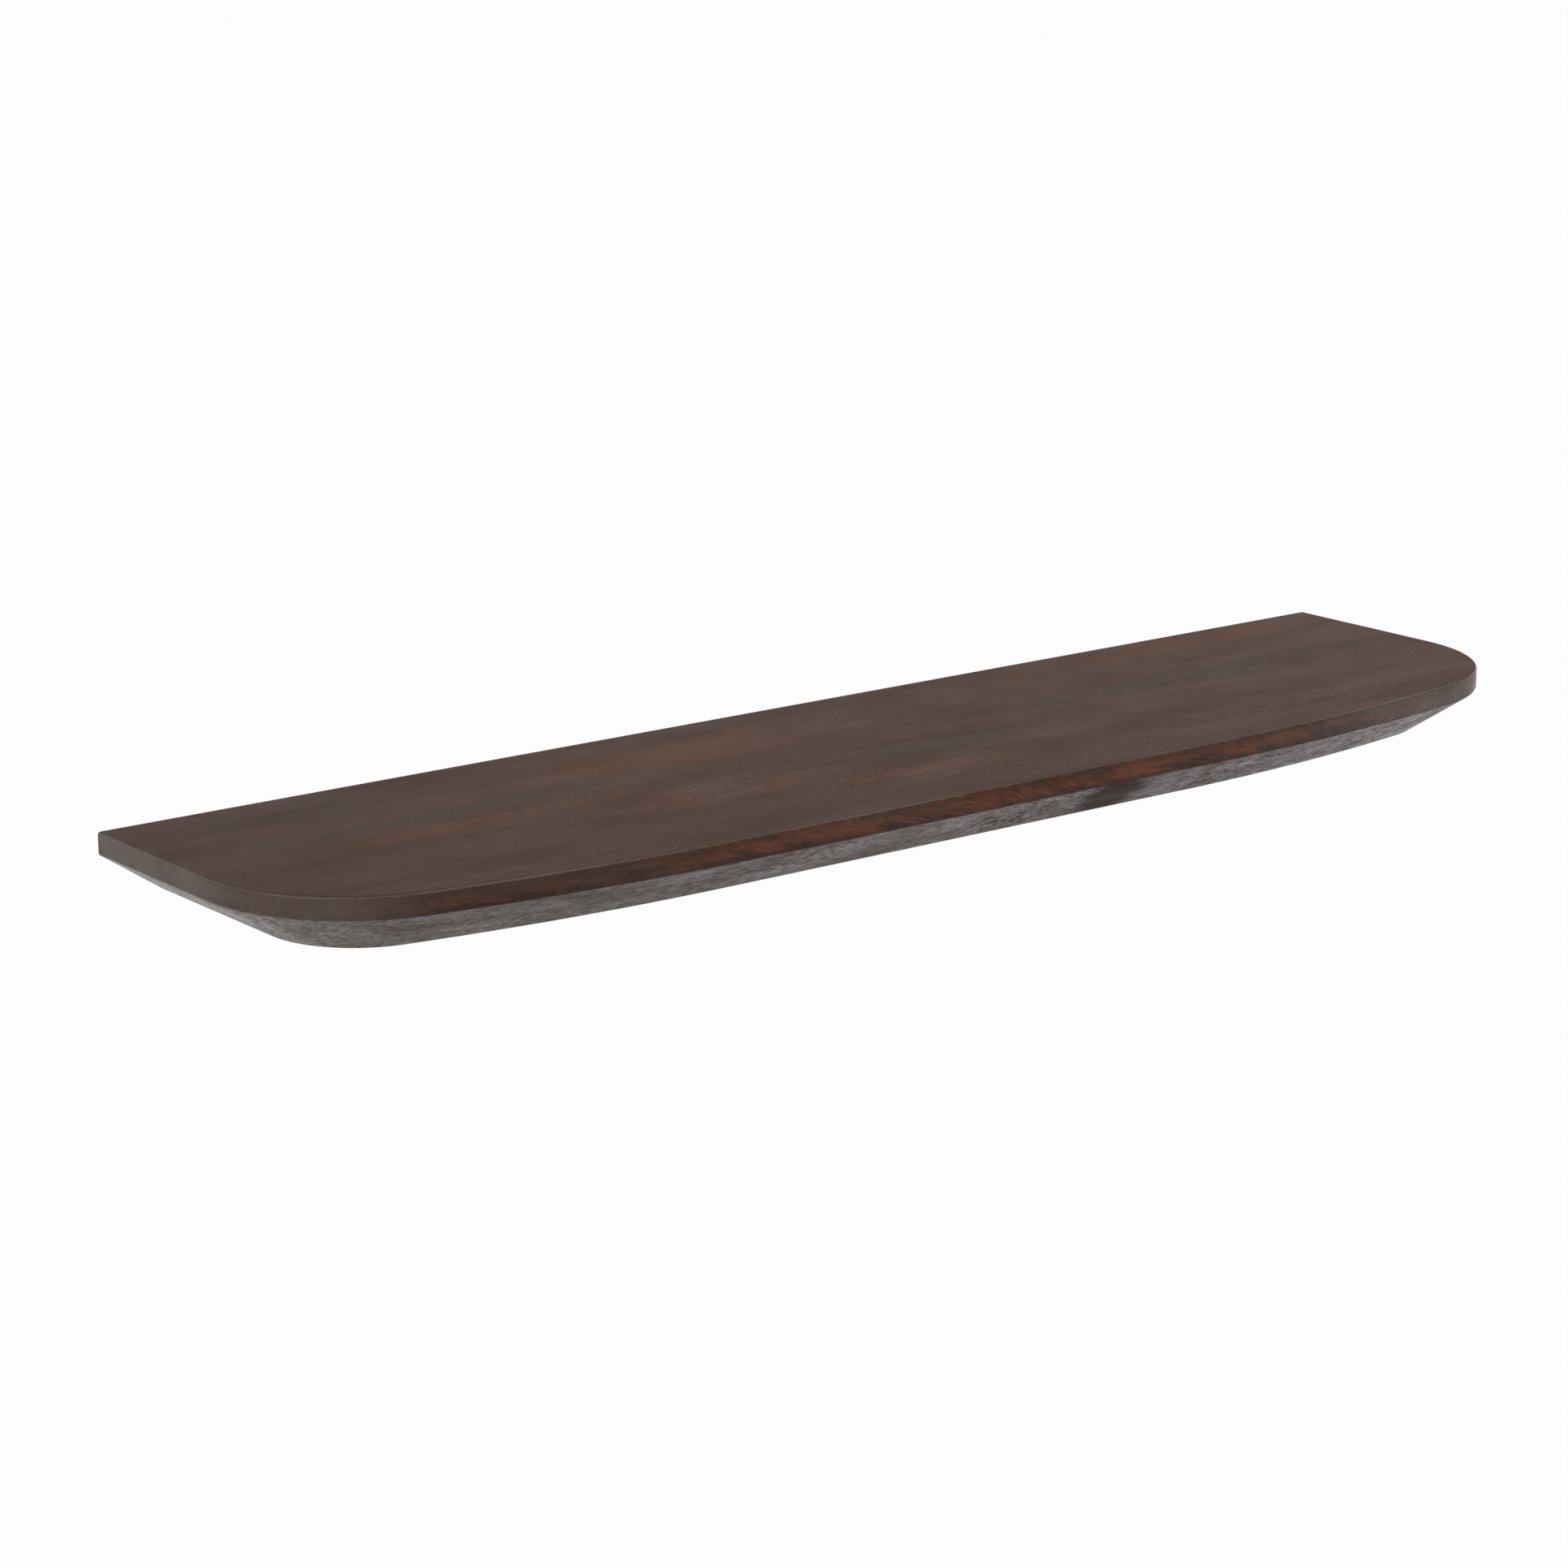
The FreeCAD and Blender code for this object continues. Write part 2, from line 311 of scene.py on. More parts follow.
def new_group(name, inputs, outputs):
    """A shader node group with named inputs {name: default} and outputs {name: socket kind}."""
    group = bpy.data.node_groups.new(name, "ShaderNodeTree")
    for key, default in inputs.items():
        kind = "NodeSocketFloat" if isinstance(default, float) else "NodeSocketVector"
        socket = group.interface.new_socket(name=key, in_out="INPUT", socket_type=kind)
        socket.default_value = default
    for key, kind in outputs.items():
        group.interface.new_socket(name=key, in_out="OUTPUT", socket_type=kind)
    return group, group.nodes.new("NodeGroupInput").outputs, group.nodes.new("NodeGroupOutput")


def place_group(tree, group, inputs):
    """Puts a group into a material or into another group, and gives back its outputs."""
    return add_node(tree, "ShaderNodeGroup", inputs, node_tree=group).outputs


def new_material(name):
    """A material, its node tree, its shader and the coordinates of the piece itself."""
    material = bpy.data.materials.new(name)
    material.use_nodes = True
    tree = material.node_tree
    coordinates = add_node(tree, "ShaderNodeTexCoord", {}).outputs
    return material, tree, tree.nodes["Principled BSDF"], coordinates


def add_relief(tree, shader, height, strength, distance):
    """Lets a height map of a given depth in metres tilt the shader's normal."""
    bump = add_node(tree, "ShaderNodeBump", {"Height": height, "Strength": strength,
                                             "Distance": distance})
    tree.links.new(bump.outputs[0], shader.inputs["Normal"])


# %% [markdown]
# ## Effects that several finishes share
#
# Wood first. Its fibres run along the board but not quite level: in this timber they lean one
# way and then the other as the tree grew, which is called interlocked grain. A group bends
# the coordinates in the same way, and everything drawn in the bent coordinates, such as pores
# and fibres, then dives in and out of the faces as it does in real wood.

# %% Wood: leaning fibres
def lean_of_fibres():
    """Bent coordinates: y wanders a little, and z rises by lean times x and wanders more."""
    group, given, result = new_group(
        "leaning_fibres", {"Place": (0.0, 0.0, 0.0), "Lean": 0.2, "Wander": 0.02},
        {"Fibre": "NodeSocketVector"})
    x, y, z = add_node(group, "ShaderNodeSeparateXYZ", {0: given["Place"]}).outputs
    slow = vector_maths(group, "MULTIPLY", given["Place"], (5.0, 9.0, 9.0))
    waves = add_node(group, "ShaderNodeTexNoise", {"Vector": slow, "Scale": 1.0, "Detail": 1.0})
    shift = add_node(group, "ShaderNodeSeparateColor", {0: waves.outputs["Color"]}).outputs
    sideways = product(group, maths(group, "SUBTRACT", shift[0], 0.5),
                       product(group, given["Wander"], 0.35))
    upwards = product(group, maths(group, "SUBTRACT", shift[1], 0.5),
                      product(group, given["Wander"], 2.0))
    rise = maths(group, "ADD", product(group, x, given["Lean"]), upwards)
    bent = add_node(group, "ShaderNodeCombineXYZ",
                    {0: x, 1: maths(group, "ADD", y, sideways), 2: maths(group, "ADD", z, rise)})
    group.links.new(bent.outputs[0], result.inputs["Fibre"])
    return group


leaning_fibres = lean_of_fibres()
FIBRE_LEAN = 0.18
FIBRE_WANDER = 0.03


def bent_along_fibres(tree, place, lean=FIBRE_LEAN, wander=FIBRE_WANDER):
    """The coordinates in which pores and threads of this timber are drawn."""
    return place_group(tree, leaning_fibres, {"Place": place, "Lean": lean,
                                              "Wander": wander})["Fibre"]


print("fibres lean by", round(math.degrees(math.atan(FIBRE_LEAN)), 1), "degrees")


# %% Wood: streaks, pores and growth rings
def streaks_along():
    """Soft bands much longer than they are wide, from 0 to 1."""
    group, given, result = new_group(
        "streaks_along", {"Place": (0.0, 0.0, 0.0), "Size": (0.3, 0.01, 0.01), "Detail": 3.0},
        {"Tone": "NodeSocketFloat"})
    counted = vector_maths(group, "DIVIDE", given["Place"], given["Size"])
    tone = noise(group, counted, 1.0, given["Detail"], 0.55)
    group.links.new(rescale(group, tone, 0.28, 0.72, kind="LINEAR"), result.inputs["Tone"])
    return group


streaks = streaks_along()


def streaky(tree, place, size, detail=3.0):
    """Streaks of one size in metres, as a tone from 0 to 1."""
    return place_group(tree, streaks, {"Place": place, "Size": size, "Detail": detail})["Tone"]


def open_pores_group():
    """Short dashes: one in each stretched cell, if the cell's own chance is under the share."""
    group, given, result = new_group(
        "open_pores", {"Fibre": (0.0, 0.0, 0.0), "Size": (0.004, 0.0004, 0.0004), "Share": 0.5,
                       "Fullness": 0.3},
        {"Pore": "NodeSocketFloat"})
    counted = vector_maths(group, "DIVIDE", given["Fibre"], given["Size"])
    cells = add_node(group, "ShaderNodeTexVoronoi", {"Vector": counted, "Scale": 1.0})
    chance = add_node(group, "ShaderNodeSeparateColor", {0: cells.outputs["Color"]}).outputs[0]
    there = maths(group, "LESS_THAN", chance, given["Share"])
    dash = rescale(group, cells.outputs["Distance"], given["Fullness"], 0.05)
    group.links.new(product(group, dash, there), result.inputs["Pore"])
    return group


open_pores = open_pores_group()


def pore_dashes(tree, fibre, size, share, fullness):
    """Pores of one size in metres, as a mask from 0 to 1."""
    return place_group(tree, open_pores, {"Fibre": fibre, "Size": size, "Share": share,
                                          "Fullness": fullness})["Pore"]


def growth_rings_group():
    """Tone by the distance from the tree's heart, which lies along x and drifts off with x."""
    group, given, result = new_group(
        "growth_rings", {"Place": (0.0, 0.0, 0.0), "Heart": (0.0, -0.05, -0.09),
                         "Drift": (0.0, 0.01, 0.03), "Spacing": 0.004},
        {"Tone": "NodeSocketFloat"})
    x = add_node(group, "ShaderNodeSeparateXYZ", {0: given["Place"]}).outputs[0]
    drift = add_node(group, "ShaderNodeVectorMath", {0: given["Drift"], "Scale": x},
                     operation="SCALE").outputs[0]
    arm = vector_maths(group, "SUBTRACT", vector_maths(group, "SUBTRACT", given["Place"],
                                                       given["Heart"]), drift)
    flat_arm = vector_maths(group, "MULTIPLY", arm, (0.0, 1.0, 1.0))
    reach = add_node(group, "ShaderNodeVectorMath", {0: flat_arm}, operation="LENGTH").outputs[1]
    wobble = stretched_noise(group, given["Place"], (6.0, 30.0, 30.0), 2.0)
    count = maths(group, "ADD", maths(group, "DIVIDE", reach, given["Spacing"]),
                  product(group, wobble, 3.0))
    tone = add_node(group, "ShaderNodeTexNoise", {"W": count, "Scale": 1.0, "Detail": 2.0,
                    "Roughness": 0.6}, noise_dimensions="1D").outputs[0]
    group.links.new(rescale(group, tone, 0.25, 0.75, kind="LINEAR"), result.inputs["Tone"])
    return group


growth_rings = growth_rings_group()


def stain_patch_group():
    """A soft oval, longer along x, with an edge that soft random values make ragged."""
    group, given, result = new_group(
        "stain_patch", {"Place": (0.0, 0.0, 0.0), "Centre": (0.0, 0.0, 0.0),
                        "Reach": (0.1, 0.02, 0.05), "Ragged": 0.8},
        {"Mask": "NodeSocketFloat"})
    from_centre = vector_maths(group, "SUBTRACT", given["Place"], given["Centre"])
    counted = vector_maths(group, "DIVIDE", from_centre, given["Reach"])
    far = add_node(group, "ShaderNodeVectorMath", {0: counted}, operation="LENGTH").outputs[1]
    rough_edge = stretched_noise(group, given["Place"], (16.0, 90.0, 60.0), 3.0, 0.6)
    far = maths(group, "ADD", far, product(group, given["Ragged"],
                                           maths(group, "SUBTRACT", rough_edge, 0.5)))
    group.links.new(rescale(group, far, 1.15, 0.45), result.inputs["Mask"])
    return group


stain_patch = stain_patch_group()
print("wood groups", [g.name for g in bpy.data.node_groups])

# %% [markdown]
# Metal and paint share two effects. Edges wear first, because every cloth and glove that
# slides over the piece leans on them: the Bevel node rounds the normal near an edge, and the
# difference from the true normal tells how near the edge is. Handling also leaves fine
# scratches, which are long thin streaks that only touch the surface here and there.

# %% Metal: worn edges, scratches and tarnish
def worn_edges_group():
    """How far the rounded normal leans from the true one, broken up by soft random values."""
    group, given, result = new_group(
        "worn_edges", {"Place": (0.0, 0.0, 0.0), "Width": 0.0008, "Amount": 0.5, "Grain": 900.0},
        {"Mask": "NodeSocketFloat"})
    rounded = add_node(group, "ShaderNodeBevel", {"Radius": given["Width"]}, samples=6)
    true_normal = add_node(group, "ShaderNodeNewGeometry", {}).outputs["Normal"]
    alike = add_node(group, "ShaderNodeVectorMath", {0: rounded.outputs[0], 1: true_normal},
                     operation="DOT_PRODUCT").outputs["Value"]
    lean = rescale(group, alike, 1.0, 0.9, kind="LINEAR")
    patchy = noise(group, given["Place"], given["Grain"], 3.0, 0.6)
    worn = maths(group, "SUBTRACT", product(group, lean, maths(group, "ADD", patchy, 0.5)),
                 inverse(group, given["Amount"]))
    group.links.new(rescale(group, worn, 0.0, 0.25), result.inputs["Mask"])
    return group


worn_edges = worn_edges_group()


def fine_scratches_group():
    """Thin streaks that show only where a second, slower noise lets them."""
    group, given, result = new_group(
        "fine_scratches", {"Place": (0.0, 0.0, 0.0), "Size": (0.02, 0.0003, 0.0003),
                           "Share": 0.4},
        {"Mask": "NodeSocketFloat"})
    counted = vector_maths(group, "DIVIDE", given["Place"], given["Size"])
    lines = noise(group, counted, 1.0, 2.0, 0.7)
    zones = noise(group, given["Place"], 60.0, 2.0, 0.5)
    faintest = maths(group, "SUBTRACT", 0.78, product(group, given["Share"], 0.3))
    sharp = rescale(group, lines, faintest, 0.85)
    group.links.new(product(group, sharp, rescale(group, zones, 0.4, 0.62)),
                    result.inputs["Mask"])
    return group


fine_scratches = fine_scratches_group()


def tarnish_group():
    """Cloudy patches of a given size with small specks in them."""
    group, given, result = new_group(
        "tarnish", {"Place": (0.0, 0.0, 0.0), "Patch": 0.006},
        {"Cloud": "NodeSocketFloat", "Speck": "NodeSocketFloat"})
    cube = add_node(group, "ShaderNodeCombineXYZ", dict.fromkeys((0, 1, 2), given["Patch"]))
    counted = vector_maths(group, "DIVIDE", given["Place"], cube.outputs[0])
    cloud = rescale(group, noise(group, counted, 1.0, 4.0, 0.6), 0.35, 0.68)
    speck = rescale(group, noise(group, counted, 9.0, 2.0, 0.6), 0.6, 0.72)
    group.links.new(cloud, result.inputs["Cloud"])
    group.links.new(speck, result.inputs["Speck"])
    return group


tarnish = tarnish_group()
print("groups in all", len(bpy.data.node_groups))

# %% [markdown]
# ## The lacquered wood
#
# Each stave is cut from another plank, so each gets its own heart position and its own tone.
# The colour is laid on in layers: growth rings and long streaks first, then warm and grey
# patches on the top, then the red heartwood of the rim with painted shade along its lower edge
# and a darker band under its upper edge, then the pores. The paints come first, with the places
# where the timber differs from the rest and the places of a painted dark reflection on the
# bevel: each is a soft oval, because a knot or a stain has no sharp edge.

# %% Wood colours and patches
DEEP_BROWN = paint(62, 41, 33)
WARM_BROWN = paint(80, 53, 41)
WARM_STAIN = paint(92, 54, 33)
RED_ORANGE = paint(118, 63, 38)
GOLD_THREAD = paint(158, 112, 76)
GREY_BROWN = paint(61, 48, 42)
NEAR_BLACK = paint(26, 18, 16)
PALE_FLECK = paint(206, 194, 184)
# Paler, greyer ends: partly the end grain's own tone, partly a painted sheen
END_GRAIN_AND_SHEEN = paint(100, 87, 78)
RAW_BROWN = paint(150, 108, 74)

# Patches in the wood, in metres: centre, reach and strength
WARM_PATCHES = (
    ((-0.115, -0.060, 0.02), (0.17, 0.036, 0.05), 0.5),
    ((0.375, -0.020, 0.02), (0.20, 0.020, 0.05), 0.4),
    ((-0.170, -0.158, 0.02), (0.09, 0.024, 0.05), 0.45),
    ((-0.300, -0.124, 0.02), (0.13, 0.014, 0.05), 0.45),
    ((-0.010, -0.190, 0.02), (0.10, 0.012, 0.05), 0.35),
)
GREY_PATCHES = (
    ((-0.305, -0.092, 0.02), (0.17, 0.009, 0.05), 0.5),
    ((0.025, -0.145, 0.02), (0.11, 0.018, 0.05), 0.5),
    ((0.325, -0.100, 0.02), (0.20, 0.016, 0.05), 0.6),
    ((-0.400, -0.030, 0.02), (0.12, 0.020, 0.05), 0.4),
)
# Where pores of the top show pale flecks
FLECKED_PATCHES = (
    ((-0.270, -0.112, 0.02), (0.090, 0.022, 0.05), 0.6),
    ((-0.150, -0.150, 0.02), (0.110, 0.028, 0.05), 0.8),
    ((-0.030, -0.190, 0.02), (0.110, 0.028, 0.05), 0.8),
    ((0.090, -0.225, 0.02), (0.110, 0.024, 0.05), 0.8),
    ((0.270, -0.105, 0.02), (0.160, 0.022, 0.05), 0.6),
    ((0.300, -0.205, 0.02), (0.120, 0.030, 0.05), 0.6),
)
# Painted dark reflection on the bevel: there the colour is painted dark and the film made thin; the
# places slant with the height
PAINTED_DARK_SLANT = 0.35
PAINTED_DARK_PATCHES = (
    ((0.101, -0.235, -0.008), (0.034, 0.060, 0.040), 0.9),
    ((-0.310, -0.230, -0.007), (0.060, 0.060, 0.060), 0.3),
    ((0.180, -0.230, -0.007), (0.010, 0.060, 0.060), 0.35),
)
# Where the bevel cuts across the most pores
PORE_PATCHES = (
    ((0.040, -0.230, -0.006), (0.065, 0.040, 0.020), 1.0),
    ((0.205, -0.230, -0.006), (0.060, 0.040, 0.030), 0.9),
    ((0.350, -0.225, -0.006), (0.080, 0.050, 0.030), 0.8),
    ((-0.185, -0.230, -0.006), (0.075, 0.040, 0.024), 0.35),
)
# Where the rim shows its red heartwood
RED_PATCHES = (
    ((0.002, -0.250, 0.014), (0.272, 0.060, 0.050), 0.66),
)


def patch_mask(tree, place, patches, ragged=0.8):
    """The strongest of a list of soft patches at each place."""
    mask = 0.0
    for centre, reach, strength in patches:
        patch = place_group(tree, stain_patch, {"Place": place, "Centre": centre,
                                                "Reach": reach, "Ragged": ragged})["Mask"]
        mask = maths(tree, "MAXIMUM", maths(tree, "MULTIPLY", patch, strength), mask)
    return mask


print("strongest patch", max(patch[2] for patch in WARM_PATCHES + GREY_PATCHES + FLECKED_PATCHES
                             + PAINTED_DARK_PATCHES + PORE_PATCHES + RED_PATCHES))

# %% [markdown]
# ## The faces of one board
#
# One lacquer looks different on each face: the top is rubbed, the bevel cuts across the fibres,
# and the ends show them cut through. The normal tells which way a face looks, so soft ranges
# of it give a mask for each kind of face. The grain belongs to the plank, so it runs through
# all the faces unchanged.

# %% Wood: masks of the faces, and the grain
def board_masks(tree, coordinates):
    """Where a point lies, and masks from 0 to 1 by the way that its face looks."""
    x, y, height = add_node(tree, "ShaderNodeSeparateXYZ", {0: coordinates["Object"]}).outputs
    along, _, up = add_node(tree, "ShaderNodeSeparateXYZ", {0: coordinates["Normal"]}).outputs
    upward = rescale(tree, up, 0.5, 0.95)
    downward = rescale(tree, up, -0.3, -0.75)
    not_upward = inverse(tree, upward)
    upright = maths(tree, "SUBTRACT", not_upward, downward, clamp=True)
    arris = maths(tree, "SUBTRACT", rescale(tree, up, 0.15, 0.45),
                  rescale(tree, up, 0.85, 0.98), clamp=True)
    ends = product(tree, rescale(tree, maths(tree, "ABSOLUTE", x), 0.18, 0.42), not_upward)
    end_grain = rescale(tree, maths(tree, "ABSOLUTE", along), 0.1, 0.7)
    return SimpleNamespace(place=coordinates["Object"], x=x, y=y, height=height, up=up,
                           upward=upward, downward=downward, upright=upright, arris=arris,
                           ends=ends, end_grain=end_grain)


def plank_grain(tree, place, heart, drift):
    """Growth rings, and streaks from broad bands down to single threads, each from 0 to 1."""
    fibre = bent_along_fibres(tree, place)
    rings = place_group(tree, growth_rings, {"Place": place, "Heart": heart, "Drift": drift,
                                             "Spacing": 0.0035})["Tone"]
    return SimpleNamespace(fibre=fibre, rings=rings,
                           broad=streaky(tree, place, (0.30, 0.014, 0.02)),
                           narrow=streaky(tree, place, (0.09, 0.0028, 0.004)),
                           threads=streaky(tree, fibre, (0.012, 0.0006, 0.0006)),
                           flames=streaky(tree, fibre, (0.060, 0.016, 0.012)),
                           smoke=streaky(tree, fibre, (0.045, 0.010, 0.007)))


# %% [markdown]
# ## Colour
#
# The plank's own brown is a weighted sum of its layers of grain. Stain is then laid over it
# face by face. On the rim, painted shade darkens the lower edge, and a darker band runs just
# under the upper one; both lines are ragged, because the same smoke that darkens the flames
# also shifts them.

# %% Wood: colour of the plank, the top and the rim
def plank_colour(tree, grain, tone):
    """Deep to warm brown, by the layers' weighted sum and the plank's own tone."""
    mixed = product(tree, grain.broad, 0.40)
    for layer, weight in ((grain.narrow, 0.25), (grain.rings, 0.2), (grain.threads, 0.25)):
        mixed = maths(tree, "ADD", mixed, product(tree, layer, weight))
    mixed = maths(tree, "ADD", mixed, tone)
    return mix_paint(tree, rescale(tree, mixed, 0.2, 0.9, kind="LINEAR"), DEEP_BROWN, WARM_BROWN)


def stain_top(tree, board, grain, colour):
    """Warm patches broken up by the narrow streaks, and grey ones."""
    warm = product(tree, patch_mask(tree, board.place, WARM_PATCHES), board.upward,
                   rescale(tree, grain.narrow, 0.15, 0.85, 0.4, 1.5), clamp=True)
    grey = product(tree, patch_mask(tree, board.place, GREY_PATCHES), board.upward)
    return mix_paint(tree, grey, mix_paint(tree, warm, colour, WARM_STAIN), GREY_BROWN)


def stain_rim(tree, board, grain, colour):
    """Red flames, smoke, gold threads, painted shade along the lower edge, and a darker band below
    the upper one.
    """
    lit = maths(tree, "ADD", rescale(tree, grain.flames, 0.1, 0.9, 0.2, 0.9),
                product(tree, maths(tree, "SUBTRACT", grain.threads, 0.5), 1.4))
    red = maths(tree, "ADD", patch_mask(tree, board.place, RED_PATCHES), 0.25)
    red = product(tree, red, inverse(tree, board.arris))
    colour = mix_paint(tree, product(tree, lit, board.upright, red, clamp=True), colour,
                       RED_ORANGE)
    ragged = product(tree, maths(tree, "SUBTRACT", grain.smoke, 0.5), 9 * MM)
    level = maths(tree, "SUBTRACT", board.height, ragged)
    away_from_ends = maths(tree, "SUBTRACT", board.upright, board.ends, clamp=True)
    below_arris = maths(tree, "SUBTRACT", board.upright, board.arris, clamp=True)
    smoky = product(tree, rescale(tree, grain.smoke, 0.55, 0.85), away_from_ends)
    golden = product(tree, rescale(tree, grain.threads, 0.72, 0.95), board.upright)
    # Painted shade: the lower edge of the rim is painted darker
    painted_low_shade = product(tree, rescale(tree, level, rim_bottom + 6 * MM, rim_bottom + 0.5 * MM),
                       board.upright)
    # The rim is made darker just below its upper edge
    darker_below_top = product(tree, rescale(tree, level, top - 6 * MM, top - 2.5 * MM), below_arris)
    for mask, strength, stain in ((smoky, 0.4, NEAR_BLACK), (golden, 0.3, GOLD_THREAD),
                                  (painted_low_shade, 0.55, NEAR_BLACK), (darker_below_top, 0.3, NEAR_BLACK)):
        colour = mix_paint(tree, product(tree, mask, strength), colour, stain)
    return colour


# %% [markdown]
# ## Pores, pale flecks, painted dark places and film
#
# The satin lacquer is a coat over it all. It is rubbed down on the top, where it is touched,
# and it stays fuller on the arris, round the corners and on the bevel. An open pore breaks the
# film, and so do the hairs that stand up where the bevel cuts across the grain, so on the bevel
# both show as dark marks in a silvery sheen. A few places of the bevel carry a painted dark
# reflection: their colour is painted nearly black and their film is made thin. Pores of the top
# show as pale flecks in places.

# %% Wood: pores, painted dark places, pale flecks and film
def board_pores(tree, board, grain):
    """Fine pores everywhere and coarse ones mostly on the bevel; also how crowded these are."""
    fine = pore_dashes(tree, grain.fibre, (0.0050, 0.0006, 0.0006), 0.45, 0.42)
    coarse = pore_dashes(tree, grain.fibre, (0.0055, 0.0016, 0.0016), 0.8, 0.68)
    crowded = product(tree, patch_mask(tree, board.place, PORE_PATCHES, 1.4), 0.45)
    crowded = product(tree, maths(tree, "ADD", crowded, 0.2), board.downward)
    crowded = maths(tree, "ADD", crowded, 0.25)
    pores = maths(tree, "MAXIMUM", product(tree, fine, 0.4), product(tree, coarse, crowded))
    return pores, crowded


def painted_dark_places(tree, board):
    """Painted dark reflection on the bevel, where the film is also made thin: patches drawn in
    coordinates that slant with the height.
    """
    slant = maths(tree, "ADD", board.x, product(tree, board.height, PAINTED_DARK_SLANT))
    slanted = add_node(tree, "ShaderNodeCombineXYZ", {0: slant, 1: board.y, 2: board.height})
    painted_dark = maths(tree, "POWER", patch_mask(tree, slanted.outputs[0], PAINTED_DARK_PATCHES, 0.9), 1.6)
    return product(tree, painted_dark, board.downward)


def pale_flecks(tree, board, grain):
    """Pale flecks on the top: pores, where a patch and a gritty noise let them show."""
    grit = rescale(tree, stretched_noise(tree, board.place, (260.0, 420.0, 420.0), 2.0),
                   0.42, 0.62)
    flecked = product(tree, patch_mask(tree, board.place, FLECKED_PATCHES), board.upward, grit, 0.65)
    flecks = pore_dashes(tree, grain.fibre, (0.0028, 0.0012, 0.0012), 0.35, 0.42)
    return product(tree, flecks, flecked)


def lacquer_film(tree, board, pores, crowded, painted_dark):
    """The film's fullness: clouds, times one plus each gain, times one less each cover."""
    clouds = stretched_noise(tree, board.place, (14.0, 34.0, 60.0))
    swirl = stretched_noise(tree, board.place, (24.0, 70.0, 90.0))
    film = rescale(tree, clouds, 0.3, 0.7, 0.32, 0.54, "LINEAR")
    round_corners = maths(tree, "ADD", maths(tree, "SUBTRACT", board.ends,
                                             product(tree, board.end_grain, 0.8)), 0.1)
    gains = (product(tree, board.end_grain, 0.4),
             product(tree, board.ends, 0.2),
             product(tree, board.arris, round_corners),
             product(tree, maths(tree, "SUBTRACT", crowded, 0.30), 0.8),
             product(tree, maths(tree, "SUBTRACT", swirl, 0.46),
                     product(tree, board.downward, 1.5)))
    for gain in gains:
        film = product(tree, film, maths(tree, "ADD", gain, 1.0))
    crossing = bent_along_fibres(tree, board.place, -0.3, 0.06)
    hairs = streaky(tree, crossing, (0.010, 0.0035, 0.0022), 2.0)
    where = product(tree, maths(tree, "ADD", crowded, 0.15), product(tree, board.downward, 0.75))
    hairs = product(tree, rescale(tree, hairs, 0.40, 0.75), where, clamp=True)
    rubbed = rescale(tree, board.up, 0.8, 0.98, 0.0, 0.66)
    for cover in (product(tree, pores, 0.95), painted_dark, hairs, rubbed):
        film = product(tree, film, inverse(tree, cover))
    return film


# %% [markdown]
# ## The finish of each stave
#
# Now the layers are laid over each other. The saw cuts the fibres across at the two ends, where
# the end grain is duller, and there the colour is painted paler and greyer: partly the end
# grain's own tone and partly a painted sheen. The stave beside the wall has the palest ends.
# Apart from that painted sheen, the wood itself hardly shines: nearly all of its sheen comes
# from the film.

# %% Lacquered wood
def lacquered_wood(name, heart, drift, tone, end_grain_and_sheen_tone):
    """The finish of one stave, from the place of the tree's heart and two shifts of tone."""
    material, tree, shader, coordinates = new_material(name)
    board = board_masks(tree, coordinates)
    grain = plank_grain(tree, board.place, heart, drift)
    pores, crowded = board_pores(tree, board, grain)
    painted_dark = painted_dark_places(tree, board)

    colour = plank_colour(tree, grain, tone)
    colour = stain_top(tree, board, grain, colour)
    colour = stain_rim(tree, board, grain, colour)
    pore_tint = maths(tree, "SUBTRACT", 0.75, product(tree, board.upward, 0.35))
    # End faces painted paler and greyer: partly end grain, partly a painted sheen
    for mask, strength, stain in ((board.end_grain, end_grain_and_sheen_tone, END_GRAIN_AND_SHEEN),
                                  # Painted dark reflection: the bevel's dark places are painted
                                  # towards near black
                                  (pores, pore_tint, NEAR_BLACK), (painted_dark, 0.5, NEAR_BLACK)):
        colour = mix_paint(tree, product(tree, mask, strength), colour, stain)
    # Pale flecks in the pores of the top
    colour = mix_paint(tree, pale_flecks(tree, board, grain), colour, PALE_FLECK)

    rub = stretched_noise(tree, board.place, (9.0, 30.0, 30.0))
    dull = maths(tree, "ADD", product(tree, pores, 0.2), product(tree, board.end_grain, 0.1))
    roughness = maths(tree, "ADD", rescale(tree, rub, 0.3, 0.7, 0.36, 0.48, "LINEAR"), dull)
    film = lacquer_film(tree, board, pores, crowded, painted_dark)
    fill_inputs(tree, shader, {"Base Color": colour, "Roughness": roughness,
                               "Specular IOR Level": 0.004, "Coat Weight": film,
                               "Coat Roughness": 0.3, "Coat IOR": 1.5})
    add_relief(tree, shader, maths(tree, "SUBTRACT", product(tree, grain.threads, 0.12), pores),
               0.5, 0.12 * MM)
    return material


stave_woods = {
    "back_stave": lacquered_wood("lacquered_wood_back", (0.0, -0.060, -0.110),
                                 (0.0, 0.012, 0.035), 0.02, 0.8),
    "middle_stave": lacquered_wood("lacquered_wood_middle", (0.0, -0.150, 0.140),
                                   (0.0, -0.015, 0.030), -0.02, 0.6),
    "front_stave": lacquered_wood("lacquered_wood_front", (0.0, -0.190, -0.095),
                                  (0.0, 0.020, -0.030), 0.0, 0.55),
}
print("nodes in a lacquered wood", len(stave_woods["front_stave"].node_tree.nodes))


